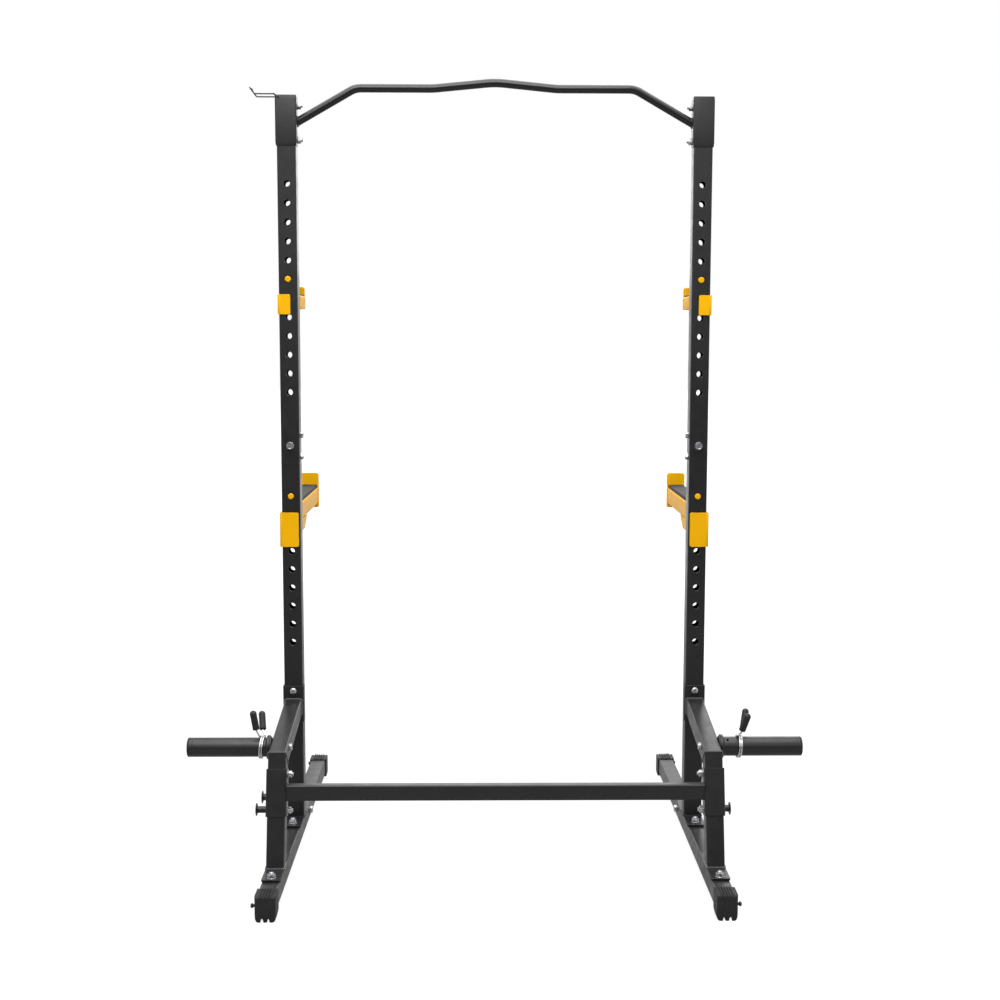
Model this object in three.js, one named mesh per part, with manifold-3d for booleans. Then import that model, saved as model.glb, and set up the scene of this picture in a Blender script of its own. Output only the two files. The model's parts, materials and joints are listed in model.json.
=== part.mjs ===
// A power rack: two-piece square uprights on base rails, braced by rear legs that carry weight pegs,
// with a pull-up bar on top, and bar hooks and spotter arms that hang on pins in the uprights' holes.
// Millimetres and degrees, +Z up. The origin is on the floor, midway between the uprights, in their
// centre plane. The weight pegs are at the rear, -Y; the hooks and spotter arms reach forward, +Y.
// The right side is modelled about its own upright's axis, with +x outward, and mirrored for the left.
import * as THREE from 'three';
import { mergeVertices } from 'three/addons/utils/BufferGeometryUtils.js';
import Module from 'manifold-3d';

const wasm = await Module();
wasm.setup();

// Fits and cuts
const fitGap = 0.3;
const cutOverrun = 3;
const weldSink = 1;

// Uprights
const uprightSpan = 1100;
const uprightWidth = 50;
const uprightWall = 2.5;
const uprightCorner = 4;
const uprightTop = 2011;
const spliceHeight = 1040;
const pinHoleWidth = 17.4;
const pinHolePitch = 50;
const lowerHoleDrop = 83;
const lowerHoleCount = 9;
const upperHoleRise = 197;
const upperHoleCount = 12;

// Splice sleeve and its bolts
const sleeveWall = 3;
const sleeveRise = 102;
const sleeveDepth = 48;
const spliceSideBoltDrop = 24.5;
const spliceBoltStep = 29;

// Top plug
const plugThickness = 3.4;
const plugSkirtDepth = 18;
const plugSkirtWall = 2;
const plugEdge = 1.2;

// Base rails and foot plates
const baseLength = 1200;
const railWidth = 45;
const railWall = 2.5;
const railCorner = 4;
const railClearance = 15;
const footPlateWidth = 48;
const footPlateThickness = 6;
const footPlateCorner = 4;
const uprightFootLength = 197;
const rearFootLength = 186;
const studInset = 24;

// End caps of the rails
const capLength = 55;
const capEndWall = 7.7;
const capSideWall = 2.5;
const capTopWall = 2.7;
const capCorner = 6;
const treadWidth = 10.5;
const treadArchHeight = 9;
const capRibCount = 5;
const capRibPitch = 6.6;
const capRibWidth = 3.4;
const capRibHeight = 1;

// Band pegs
const bandPegHeight = 37.5;
const bandPegSetback = 128;
const bandPegStep = 115;
const bandPegWidth = 19.5;
const bandPegReach = 108.5;
const bandPegFlangeWidth = 37;
const bandPegFlangeThickness = 4;
const bandPegEdge = 1;

// Rear legs
const legWidth = 45;
const legWall = 2.5;
const legCorner = 4;
const mitreInset = 240;
const mitreHeight = 345.5;
const postLean = 13.6;
const braceRise = 9.4;

// Folded channel brackets
const channelWall = 3;
const channelBend = 4;
const barBracketLength = 130;
const barBracketRise = 4;
const barBracketReach = 40;
const barBracketBoltInset = 21;
const braceBracketLength = 100;
const braceBracketDrop = 64.413;
const braceBracketReach = 28;
const braceBoltDrop = 14;
const crossBracketLength = 118;
const crossBracketReach = 38;
const crossBracketDrop = 4.4;
const crossBracketBoltInset = 14.2;

// Crossmember
const crossTop = 267.2;
const crossHeight = 40;
const crossDepth = 25;
const crossWall = 2;
const crossCorner = 4;

// Weight pegs and their end caps
const pegForward = 70;
const pegRise = 5;
const pegReach = 214;
const pegWidth = 49;
const pegWall = 2.5;
const pegNeckWidth = 53;
const pegNeckLength = 3;
const pegFlangeWidth = 61;
const pegFlangeThickness = 8;
const pegFlangeEdge = 2;
const pegVentWidth = 7;
const pegVentOffset = 22;
const pegVentAngle = 55;
const pegCapThickness = 5;
const pegCapEdge = 3;
const pegCapPlugDepth = 14;
const pegCapPlugWall = 2.5;

// Spring collars
const collarWire = 4.6;
const collarBore = 49.9;
const collarPitch = 5.1;
const collarTurns = 2;
const collarArmAngle = 27;
const collarArmLean = 10.1;
const collarArmBend = 6;
const collarArmJog = 4.3;
const collarArmJogRise = 19;
const collarTilt = 3;
const collarGripStart = 50.5;
const collarGripLength = 52;
const collarGripWidth = 17.5;
const collarGripBoreDepth = 34;
const leftCollarOffset = 26.4;
const leftCollarTurn = 14.4;
const rightCollarOffset = 52.5;
const rightCollarTurn = 5.4;

// Pull-up bar
const barWidth = 22.4;
const barWall = 2;
const barEndDrop = 61.5;
const barBendSpan = 738;
const barLevelRise = 25.5;
const barShoulderSpan = 326;
const barCrown = 16;
const barBendRadius = 60;
const barShoulderRadius = 220;
const barCrownRadius = 260;

// Wire hook on the left bar bracket
const wireHookWidth = 3.8;
const wireHookSpread = 48;
const wireHookReach = 52;
const wireHookBend = 6;
const wireHookRise = 2.4;
const nearTipReach = 6;
const nearTipRise = 14;
const farTipReach = 19;
const farTipRise = 25;
const wireStubReach = 13;
const wireStubDrop = 9;

// Bar hooks
const hookHole = 6;
const hookPlate = 3;
const hookPinWidth = 16;
const hookPinProud = 3;
const hookTabDrop = 40;
const hookTabHeight = 53;
const hookTabReach = 34;
const hookTabCorner = 4;
const hookBackInset = 0.5;
const hookBackRise = 20;
const hookBackCorner = 16;
const hookCradleTopDrop = 40;
const hookCradleHeight = 35;
const hookCradleLength = 110.5;
const hookLipThickness = 4;
const hookLipRise = 26;
const hookLipCorner = 8;
const hookPadThickness = 4;
const hookPadInset = 2;
const hookPadCorner = 3;

// Spotter arms
const armHole = 8;
const armPlate = 5;
const armPinWidth = 16;
const armPinProud = 3;
const pinDimple = 3;
const armTabDrop = 44;
const armTabHeight = 93;
const armTabReach = 51;
const armTabCorner = 5;
const armBackInset = 1;
const armBackRise = 20;
const armBackCorner = 16;
const armBeamTopDrop = 21;
const armBeamWidth = 48;
const armBeamHeight = 48;
const armBeamWall = 3;
const armBeamCorner = 4;
const armBeamInset = 2;
const armBeamLength = 393.4;
const armEndThickness = 6;
const armEndRise = 45;
const armEndDrop = 11;
const armEndOverhang = 2.5;
const armEndTopCorner = 8;
const armEndBottomCorner = 4;
const armGussetThickness = 5;
const armGussetDepth = 32;
const armGussetReach = 120;
const armGussetFoot = 62;
const armGussetCorner = 12;
const armStripThickness = 9.7;
const armStripInset = 2;

// Bolts
const boltWidth = 10;
const boltHoleWidth = 11;
const boltLength = 26;
const hexHeadFlats = 17;
const hexHeadHeight = 6.5;
const washerWidth = 21;
const washerThickness = 1.5;
const buttonHeadWidth = 17;
const buttonHeadHeight = 6;
const buttonHeadEdge = 1.5;
const buttonSocketFlats = 6;
const buttonSocketDepth = 3;

// Facets
const cornerSteps = 1;
const holeSides = 12;
const boltSides = 10;
const barSides = 14;
const pegSides = 28;
const pinSides = 16;
const bandPegSides = 20;
const wireSides = 6;
const coilSides = 5;
const coilStepsPerTurn = 12;
const gripSides = 12;
const bendStep = 8;
const archSteps = 3;

// Places worked out from the driving dimensions
const radians = THREE.MathUtils.degToRad;
const quarterTurn = 90;
const uprightX = uprightSpan / 2;
const uprightHalf = uprightWidth / 2;
const legHalf = legWidth / 2;
const railTop = railClearance + railWidth;
const plateTop = railTop + footPlateThickness;
const uprightBore = uprightWidth - 2 * uprightWall;
const lowerHoleStart = spliceHeight - lowerHoleDrop - (lowerHoleCount - 1) * pinHolePitch;
const upperHoleStart = spliceHeight + upperHoleRise;
const mitreSetback = baseLength / 2 - mitreInset;
const leanSlope = Math.tan(radians(postLean));
const riseSlope = Math.tan(radians(braceRise));
const postRun = legWidth / Math.cos(radians(postLean));
const barEndHeight = uprightTop - barEndDrop;
const barLevel = uprightTop + barLevelRise;
const barBracketTop = uprightTop + barBracketRise;
const barBracketBottom = barBracketTop - barBracketLength;
const barBracketBolts = [barBracketBottom + barBracketBoltInset, barBracketTop - barBracketBoltInset];
const channelFace = uprightHalf + fitGap + channelWall;
const braceBracketBottom = braceTopAt(-channelFace) - braceBracketDrop;
const braceBoltHeight = braceBracketBottom + braceBracketLength - braceBoltDrop;
const spliceSideBolts = [spliceHeight + spliceSideBoltDrop, spliceHeight + spliceSideBoltDrop + 2 * spliceBoltStep];
const spliceFrontBolt = spliceHeight + spliceSideBoltDrop + spliceBoltStep;
const pegY = pegForward - mitreSetback;
const pegHeight = braceTopAt(pegY) - legHalf / Math.cos(radians(braceRise)) + pegRise;
const postFootY = postFaceAt(plateTop) + postRun / 2;
const uprightStuds = studPlaces(0, uprightFootLength);
const rearStuds = studPlaces(postFootY, rearFootLength);
const bandPegPlaces = [bandPegSetback, bandPegSetback + bandPegStep];
const bandPegX = railWidth / 2 + fitGap;
const hookPinHeight = upperHoleStart + hookHole * pinHolePitch;
const armPinHeight = lowerHoleStart + armHole * pinHolePitch;

// Height of the brace's top face, and place of the post's rear face
function braceTopAt(y) {
  return mitreHeight + (y + mitreSetback) * riseSlope;
}

function postFaceAt(z) {
  return -mitreSetback - (mitreHeight - z) * leanSlope;
}

function studPlaces(centre, length) {
  return [centre - length / 2 + studInset, centre + length / 2 - studInset];
}

// Solids and meshes
function toSolid(geometry) {
  const bare = geometry.clone();
  bare.deleteAttribute('normal');
  bare.deleteAttribute('uv');
  const merged = mergeVertices(bare);
  return new wasm.Manifold(new wasm.Mesh({
    numProp: 3,
    vertProperties: Float32Array.from(merged.getAttribute('position').array),
    triVerts: Uint32Array.from(merged.getIndex().array),
  }));
}

function toGeometry(solid) {
  const { vertProperties, triVerts } = solid.getMesh();
  const geometry = new THREE.BufferGeometry();
  geometry.setAttribute('position', new THREE.BufferAttribute(Float32Array.from(vertProperties), 3));
  geometry.setIndex(new THREE.BufferAttribute(Uint32Array.from(triVerts), 1));
  return geometry;
}

function mirrored(geometry) {
  const twin = geometry.clone().scale(-1, 1, 1);
  const index = twin.getIndex();
  for (let corner = 0; corner < index.count; corner += 3) {
    const second = index.getX(corner + 1);
    index.setX(corner + 1, index.getX(corner + 2));
    index.setX(corner + 2, second);
  }
  return twin;
}

function joined(solids) {
  return solids.reduce((whole, piece) => whole.add(piece));
}

function drilled(solid, tools) {
  return tools.reduce((rest, tool) => rest.subtract(tool), solid);
}

function block([x0, x1], [y0, y1], [z0, z1]) {
  const geometry = new THREE.BoxGeometry(x1 - x0, y1 - y0, z1 - z0);
  return toSolid(geometry.translate((x0 + x1) / 2, (y0 + y1) / 2, (z0 + z1) / 2));
}

// A round rod along an axis, from one place on that axis to another
function rod(axis, width, [from, to], centre, sides) {
  const geometry = new THREE.CylinderGeometry(width / 2, width / 2, to - from, sides);
  geometry.rotateY(Math.PI / sides).translate(0, (from + to) / 2, 0);
  if (axis === 'x') geometry.rotateZ(-Math.PI / 2);
  if (axis === 'z') geometry.rotateX(Math.PI / 2);
  return toSolid(geometry.translate(...centre));
}

// A profile of radius and place, revolved about Y and then laid along the axis
function turned(axis, profile, centre, sides) {
  const geometry = new THREE.LatheGeometry(profile.map(([r, y]) => new THREE.Vector2(r, y)), sides);
  if (axis === 'x') geometry.rotateZ(-Math.PI / 2);
  if (axis === 'z') geometry.rotateX(Math.PI / 2);
  return outward(toSolid(geometry.translate(...centre)));
}

function outward(solid) {
  if (solid.volume() > 0) return solid;
  throw new Error('a solid has its faces turned in');
}

function extruded(shape, length) {
  return new THREE.ExtrudeGeometry(shape, { depth: length, bevelEnabled: false, curveSegments: cornerSteps });
}

function roundedRectangle(width, depth, corner) {
  return roundedOutline([
    [-width / 2, -depth / 2, corner],
    [width / 2, -depth / 2, corner],
    [width / 2, depth / 2, corner],
    [-width / 2, depth / 2, corner],
  ]);
}

// A closed outline through corners of x, y and corner radius, each rounded by an arc
function roundedOutline(corners) {
  const shape = new THREE.Shape();
  corners.forEach(([x, y, radius], i) => {
    const [px, py] = corners[(i + corners.length - 1) % corners.length];
    const [nx, ny] = corners[(i + 1) % corners.length];
    const here = new THREE.Vector2(x, y);
    const back = new THREE.Vector2(px - x, py - y).normalize();
    const on = new THREE.Vector2(nx - x, ny - y).normalize();
    const trim = radius > 0 ? radius / Math.tan(back.angleTo(on) / 2) : 0;
    const start = here.clone().addScaledVector(back, trim);
    if (i === 0) shape.moveTo(start.x, start.y);
    else shape.lineTo(start.x, start.y);
    if (radius <= 0) return;
    const middle = back.clone().add(on).normalize();
    const centre = here.clone().addScaledVector(middle, radius / Math.sin(back.angleTo(on) / 2));
    const end = here.clone().addScaledVector(on, trim);
    const from = Math.atan2(start.y - centre.y, start.x - centre.x);
    const to = Math.atan2(end.y - centre.y, end.x - centre.x);
    const clockwise = back.x * on.y - back.y * on.x > 0;
    shape.absarc(centre.x, centre.y, radius, from, to, clockwise);
  });
  shape.closePath();
  return shape;
}

// A square or rectangular tube, standing on z = 0
function tubeGeometry(width, depth, wall, corner, length) {
  const section = roundedRectangle(width, depth, corner);
  section.holes.push(roundedRectangle(width - 2 * wall, depth - 2 * wall, Math.max(corner - wall, 0)));
  return extruded(section, length);
}

function uprightTube(bottom, top) {
  const geometry = tubeGeometry(uprightWidth, uprightWidth, uprightWall, uprightCorner, top - bottom);
  return toSolid(geometry.translate(0, 0, bottom));
}

// A folded channel round a square tube, open at one end, with its web's outer face at y = 0
function channelSection(inside, wall, reachLeft, reachRight, tipCorner) {
  const outer = inside / 2 + wall;
  return roundedOutline([
    [-outer, 0, channelBend],
    [outer, 0, channelBend],
    [outer, reachRight, tipCorner],
    [outer - wall, reachRight, 0],
    [outer - wall, wall, channelBend - wall > 0 ? channelBend - wall : 0],
    [-outer + wall, wall, channelBend - wall > 0 ? channelBend - wall : 0],
    [-outer + wall, reachLeft, 0],
    [-outer, reachLeft, tipCorner],
  ]);
}

// A smooth path through corners, each with its own bend radius
function bentPath(corners) {
  const points = [corners[0].at.clone()];
  for (let i = 1; i < corners.length - 1; i += 1) {
    const { at, radius } = corners[i];
    const back = corners[i - 1].at.clone().sub(at).normalize();
    const on = corners[i + 1].at.clone().sub(at).normalize();
    const half = back.angleTo(on) / 2;
    const centre = back.clone().add(on).normalize().multiplyScalar(radius / Math.sin(half)).add(at);
    const start = at.clone().addScaledVector(back, radius / Math.tan(half)).sub(centre);
    const end = at.clone().addScaledVector(on, radius / Math.tan(half)).sub(centre);
    const turn = Math.PI - 2 * half;
    const steps = Math.max(2, Math.ceil(THREE.MathUtils.radToDeg(turn) / bendStep));
    for (let step = 0; step <= steps; step += 1) {
      const angle = (turn * step) / steps;
      const spoke = start.clone().multiplyScalar(Math.sin(turn - angle) / Math.sin(turn));
      points.push(spoke.addScaledVector(end, Math.sin(angle) / Math.sin(turn)).add(centre));
    }
  }
  points.push(corners[corners.length - 1].at.clone());
  return points;
}

// A closed round tube swept along a path, its rings turned as little as they can be
function swept(points, radius, sides) {
  const rings = points.length;
  const positions = [];
  const index = [];
  const tangents = points.map((point, i) => {
    const ahead = points[Math.min(i + 1, rings - 1)];
    const behind = points[Math.max(i - 1, 0)];
    return ahead.clone().sub(behind).normalize();
  });
  const upright = Math.abs(tangents[0].z) > Math.SQRT1_2;
  let normal = new THREE.Vector3(upright ? 1 : 0, 0, upright ? 0 : 1);
  points.forEach((point, i) => {
    normal = normal.clone().addScaledVector(tangents[i], -normal.dot(tangents[i])).normalize();
    const binormal = tangents[i].clone().cross(normal);
    for (let side = 0; side < sides; side += 1) {
      const angle = (2 * Math.PI * side) / sides;
      const spot = point.clone().addScaledVector(normal, radius * Math.cos(angle));
      spot.addScaledVector(binormal, radius * Math.sin(angle));
      positions.push(spot.x, spot.y, spot.z);
    }
  });
  for (let ring = 0; ring < rings - 1; ring += 1) {
    for (let side = 0; side < sides; side += 1) {
      const a = ring * sides + side;
      const b = ring * sides + ((side + 1) % sides);
      index.push(a, b, a + sides, b, b + sides, a + sides);
    }
  }
  for (let side = 1; side < sides - 1; side += 1) {
    const last = (rings - 1) * sides;
    index.push(0, side + 1, side, last, last + side, last + side + 1);
  }
  const geometry = new THREE.BufferGeometry();
  geometry.setAttribute('position', new THREE.Float32BufferAttribute(positions, 3));
  geometry.setIndex(index);
  return geometry;
}

// Uprights
function pinHoles(start, count) {
  const reach = [-uprightHalf - cutOverrun, uprightHalf + cutOverrun];
  const heights = Array.from({ length: count }, (_, k) => start + k * pinHolePitch);
  return heights.map((z) => rod('y', pinHoleWidth, reach, [0, 0, z], holeSides));
}

function innerWallHole(z, y = 0, half = uprightHalf) {
  return rod('x', boltHoleWidth, [-half - cutOverrun, 0], [0, y, z], boltSides);
}

function rearWallHole(z) {
  return rod('y', boltHoleWidth, [-uprightHalf - cutOverrun, 0], [0, 0, z], boltSides);
}

function footPlate(centreY, length) {
  const outline = roundedRectangle(footPlateWidth, length, footPlateCorner);
  const plate = toSolid(extruded(outline, footPlateThickness).translate(0, centreY, railTop));
  return drilled(plate, studHoles(studPlaces(centreY, length)));
}

function studHoles(places) {
  const reach = [railTop - railWall - cutOverrun, plateTop + cutOverrun];
  return places.map((y) => rod('z', boltHoleWidth, reach, [0, y, 0], boltSides));
}

function lowerUpright() {
  const tube = drilled(uprightTube(plateTop - weldSink, spliceHeight), [
    ...pinHoles(lowerHoleStart, lowerHoleCount),
    rearWallHole(braceBoltHeight),
  ]);
  return joined([tube, footPlate(0, uprightFootLength), spliceSleeve()]);
}

// The sleeve is a slip fit in the upper tube, and its lower part is wider, welded in the lower tube
function spliceSleeve() {
  const slipWidth = uprightBore - 2 * fitGap;
  const weldWidth = uprightBore + fitGap;
  const corner = uprightCorner - uprightWall;
  const slip = tubeGeometry(slipWidth, slipWidth, sleeveWall, corner, sleeveRise + weldSink);
  const weld = tubeGeometry(weldWidth, weldWidth, sleeveWall + fitGap, corner, sleeveDepth);
  const sleeve = joined([
    toSolid(slip.translate(0, 0, spliceHeight - weldSink - cutOverrun)),
    toSolid(weld.translate(0, 0, spliceHeight - sleeveDepth - cutOverrun)),
  ]);
  return drilled(sleeve, [...spliceSideBolts.map((z) => innerWallHole(z)), rearWallHole(spliceFrontBolt)]);
}

function upperUpright() {
  return drilled(uprightTube(spliceHeight + fitGap, uprightTop), [
    ...pinHoles(upperHoleStart, upperHoleCount),
    ...spliceSideBolts.map((z) => innerWallHole(z)),
    ...barBracketBolts.map((z) => innerWallHole(z)),
    rearWallHole(spliceFrontBolt),
  ]);
}

function topPlug() {
  const plate = extruded(roundedRectangle(uprightWidth, uprightWidth, uprightCorner), plugThickness - plugEdge);
  const rim = uprightWidth - 2 * plugEdge;
  const crown = extruded(roundedRectangle(rim, rim, uprightCorner - plugEdge), plugThickness);
  const skirtWidth = uprightBore - 2 * fitGap;
  const corner = uprightCorner - uprightWall;
  const skirt = tubeGeometry(skirtWidth, skirtWidth, plugSkirtWall, corner, plugSkirtDepth + weldSink);
  const seat = uprightTop + fitGap;
  return joined([
    toSolid(plate.translate(0, 0, seat)),
    toSolid(crown.translate(0, 0, seat)),
    toSolid(skirt.translate(0, 0, seat - plugSkirtDepth)),
  ]);
}

// Base rails with their end caps and band pegs
function baseRail() {
  const length = baseLength - 2 * (capEndWall + fitGap);
  const tube = tubeGeometry(railWidth, railWidth, railWall, railCorner, length);
  const rail = toSolid(tube.rotateX(Math.PI / 2).translate(0, length / 2, railClearance + railWidth / 2));
  const across = [-railWidth / 2 - cutOverrun, railWidth / 2 + cutOverrun];
  return drilled(rail, [
    ...studHoles([...uprightStuds, ...rearStuds]),
    ...bandPegPlaces.map((y) => rod('x', boltHoleWidth, across, [0, y, bandPegHeight], boltSides)),
  ]);
}

// Section across a cap: three treads with arches between them below, sides, and ribs on top
function capSection() {
  const half = railWidth / 2 + fitGap + capSideWall;
  const top = railTop + fitGap + capTopWall;
  const archWidth = (2 * half - 3 * treadWidth) / 2;
  const archEdge = archWidth / archSteps;
  const shape = new THREE.Shape();
  shape.moveTo(-half, 0);
  for (const left of [-half + treadWidth, treadWidth / 2]) {
    shape.lineTo(left, 0);
    shape.lineTo(left + archEdge, treadArchHeight);
    shape.lineTo(left + archWidth - archEdge, treadArchHeight);
    shape.lineTo(left + archWidth, 0);
  }
  shape.lineTo(half, 0);
  shape.lineTo(half, top);
  for (let rib = capRibCount - 1; rib >= 0; rib -= 1) {
    const middle = (rib - (capRibCount - 1) / 2) * capRibPitch;
    shape.lineTo(middle + capRibWidth / 2, top);
    shape.lineTo(middle + capRibWidth / 4, top + capRibHeight);
    shape.lineTo(middle - capRibWidth / 4, top + capRibHeight);
    shape.lineTo(middle - capRibWidth / 2, top);
  }
  shape.lineTo(-half, top);
  shape.closePath();
  return shape;
}

// The cap at the rail's front end, its mouth toward the middle of the rail
function endCap() {
  const end = baseLength / 2;
  const half = railWidth / 2 + fitGap + capSideWall;
  const tall = railTop + fitGap + capTopWall + capRibHeight + cutOverrun;
  const body = toSolid(extruded(capSection(), capLength).rotateX(Math.PI / 2).translate(0, end, 0));
  const plan = roundedOutline([
    [-half, end - capLength - cutOverrun, 0],
    [half, end - capLength - cutOverrun, 0],
    [half, end, capCorner],
    [-half, end, capCorner],
  ]);
  const socketHalf = railWidth / 2 + fitGap;
  const socketBack = end - capEndWall;
  const socket = block(
    [-socketHalf, socketHalf],
    [end - capLength - cutOverrun, socketBack],
    [railClearance - fitGap, railTop + fitGap],
  );
  return body.intersect(toSolid(extruded(plan, tall))).subtract(socket);
}

function facingRear(solid) {
  return toSolid(toGeometry(solid).rotateZ(Math.PI));
}

function bandPeg() {
  const stem = bandPegWidth / 2;
  const flange = bandPegFlangeWidth / 2;
  const end = bandPegReach;
  const inner = end - bandPegFlangeThickness;
  return turned('x', [
    [0, 0],
    [stem, 0],
    [stem, inner],
    [flange - bandPegEdge, inner],
    [flange, inner + bandPegEdge],
    [flange, end - bandPegEdge],
    [flange - bandPegEdge, end],
    [0, end],
  ], [bandPegX, 0, 0], bandPegSides);
}

// Rear legs: each tube is built past its joints and trimmed there
function leaningTube(degreesFromUp, overrun) {
  const length = overrun * 2;
  const tube = tubeGeometry(legWidth, legWidth, legWall, legCorner, length).translate(0, legHalf, -overrun);
  return toSolid(tube.rotateX(-radians(degreesFromUp)).translate(0, -mitreSetback, mitreHeight));
}

// Everything on one side of a plane across the leg, through a point, at an angle above the level
function legCutter(y, z, degrees, shift, size) {
  const slab = new THREE.BoxGeometry(legWidth + 2 * cutOverrun, 2 * size, size).translate(0, 0, size / 2 + shift);
  return toSolid(slab.rotateX(radians(degrees)).translate(0, y, z));
}

const legSize = mitreSetback + mitreHeight;
const mitreAngle = (braceRise - quarterTurn - postLean) / 2;

function rearPost() {
  const above = legCutter(-mitreSetback, mitreHeight, mitreAngle, -fitGap / 2, legSize);
  const below = block(
    [-legWidth, legWidth],
    [-2 * mitreSetback, 0],
    [-2 * mitreHeight, plateTop - weldSink],
  );
  const post = leaningTube(postLean, legSize).subtract(above).subtract(below);
  const holes = crossBracketBoltPlaces().map(([y, z]) => innerWallHole(z, y, legHalf));
  return joined([drilled(post, holes), footPlate(postFootY, rearFootLength)]);
}

function rearBrace() {
  const under = legCutter(-mitreSetback, mitreHeight, mitreAngle + 2 * quarterTurn, -fitGap / 2, legSize);
  const end = -channelFace - fitGap;
  const beyond = block([-legWidth, legWidth], [end, end + legSize], [0, 2 * legSize]);
  const brace = leaningTube(quarterTurn - braceRise, legSize).subtract(beyond).subtract(under);
  return drilled(brace, [innerWallHole(pegHeight, pegY, legHalf), outerWallHole(pegHeight, pegY)]);
}

function outerWallHole(z, y) {
  return rod('x', boltHoleWidth, [0, legHalf + cutOverrun], [0, y, z], boltSides);
}

// Channel brackets
function uprightChannel(bottom, length, reach) {
  const section = channelSection(uprightWidth + 2 * fitGap, channelWall, reach, reach, 0);
  return toSolid(extruded(section, length).translate(0, -channelFace, bottom));
}

function barBracket() {
  const channel = uprightChannel(barBracketBottom, barBracketLength, barBracketReach);
  return drilled(channel, barBracketBolts.map((z) => innerWallHole(z, 0, channelFace)));
}

function braceBracket() {
  const channel = uprightChannel(braceBracketBottom, braceBracketLength, braceBracketReach);
  const reach = [-channelFace - cutOverrun, 0];
  return channel.subtract(rod('y', boltHoleWidth, reach, [0, 0, braceBoltHeight], boltSides));
}

// The crossmember's bracket leans with the post; it is built upright and then turned
const crossMiddle = crossTop - crossHeight / 2;
const crossBracketMiddle = crossMiddle - crossBracketDrop;

function postAxisAt(z) {
  return postFaceAt(z) + postRun / 2;
}

function crossBracketBoltPlaces() {
  const step = (crossBracketLength / 2 - crossBracketBoltInset) * Math.cos(radians(postLean));
  return [-step, step].map((rise) => [postAxisAt(crossBracketMiddle + rise), crossBracketMiddle + rise]);
}

function crossmemberBracket() {
  const section = channelSection(legWidth + 2 * fitGap, channelWall, crossBracketReach, crossBracketReach, 0);
  const face = legHalf + fitGap + channelWall;
  const channel = extruded(section, crossBracketLength).translate(0, -face, -crossBracketLength / 2);
  channel.rotateX(-radians(postLean)).translate(0, postAxisAt(crossBracketMiddle), crossBracketMiddle);
  return drilled(toSolid(channel), crossBracketBoltPlaces().map(([y, z]) => innerWallHole(z, y, face)));
}

function crossmember() {
  const face = legHalf + fitGap + channelWall;
  const length = uprightSpan - 2 * (face + fitGap);
  const rear = postFaceAt(crossMiddle) - (fitGap + channelWall) / Math.cos(radians(postLean));
  const tube = tubeGeometry(crossHeight, crossDepth, crossWall, crossCorner, length);
  tube.rotateY(Math.PI / 2).translate(-length / 2, rear + crossDepth / 2, crossMiddle);
  return toSolid(tube);
}

// Weight pegs
function weightPeg() {
  const root = legHalf + fitGap;
  const end = legHalf + pegReach - pegCapThickness - fitGap;
  const outer = pegWidth / 2;
  const flange = pegFlangeWidth / 2;
  const floor = pegNeckLength + pegFlangeThickness;
  const peg = turned('x', [
    [0, root],
    [pegNeckWidth / 2, root],
    [pegNeckWidth / 2, root + pegNeckLength],
    [flange - pegFlangeEdge, root + pegNeckLength],
    [flange, root + pegNeckLength + pegFlangeEdge],
    [flange, root + floor - pegFlangeEdge],
    [flange - pegFlangeEdge, root + floor],
    [outer, root + floor],
    [outer, end],
    [outer - pegWall, end],
    [outer - pegWall, root + floor],
    [0, root + floor],
  ], [0, pegY, pegHeight], pegSides);
  const vent = new THREE.CylinderGeometry(pegVentWidth / 2, pegVentWidth / 2, pegWidth, boltSides);
  vent.translate(0, pegWidth / 2, 0).rotateX(Math.PI - radians(pegVentAngle));
  vent.translate(legHalf + pegVentOffset, pegY, pegHeight);
  return peg.subtract(toSolid(vent));
}

function pegCap() {
  const end = legHalf + pegReach;
  const seat = end - pegCapThickness;
  const outer = pegWidth / 2;
  const plug = outer - pegWall - fitGap;
  return turned('x', [
    [0, seat],
    [plug - pegCapPlugWall, seat],
    [plug - pegCapPlugWall, seat - pegCapPlugDepth],
    [plug, seat - pegCapPlugDepth],
    [plug, seat],
    [outer, seat],
    [outer, end - pegCapEdge],
    [outer - pegCapEdge / 3, end - pegCapEdge / 3],
    [outer - pegCapEdge, end],
    [0, end],
  ], [0, pegY, pegHeight], pegSides);
}

// Spring collars: one wound wire whose crossed arms end in grips. Built about the peg's axis with the
// coil's middle at x = 0 and the wire running toward -x. Angles are from straight up toward +y.
// The coil is widened so that its straight facets still clear the bore.
const coilRadius = (collarBore + collarWire) / 2 / Math.cos(Math.PI / coilStepsPerTurn);
const coilSweep = 360 * collarTurns + 2 * collarArmAngle;
const coilAdvance = (collarPitch * coilSweep) / 360;
const collarArms = [
  { angle: collarArmAngle, x: coilAdvance / 2 },
  { angle: -collarArmAngle, x: -coilAdvance / 2 },
];

function onCollar(radius, degrees, x) {
  return new THREE.Vector3(x, radius * Math.sin(radians(degrees)), radius * Math.cos(radians(degrees)));
}

// Each arm leans outward, and is stepped sideways between its elbow and its grip
function armPoint(arm, radius) {
  const rise = radius - coilRadius;
  const share = THREE.MathUtils.clamp((rise - collarArmBend) / (collarArmJogRise - collarArmBend), 0, 1);
  const shift = rise * Math.tan(radians(collarArmLean)) + share * collarArmJog;
  return onCollar(radius, arm.angle, arm.x - shift);
}

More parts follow.
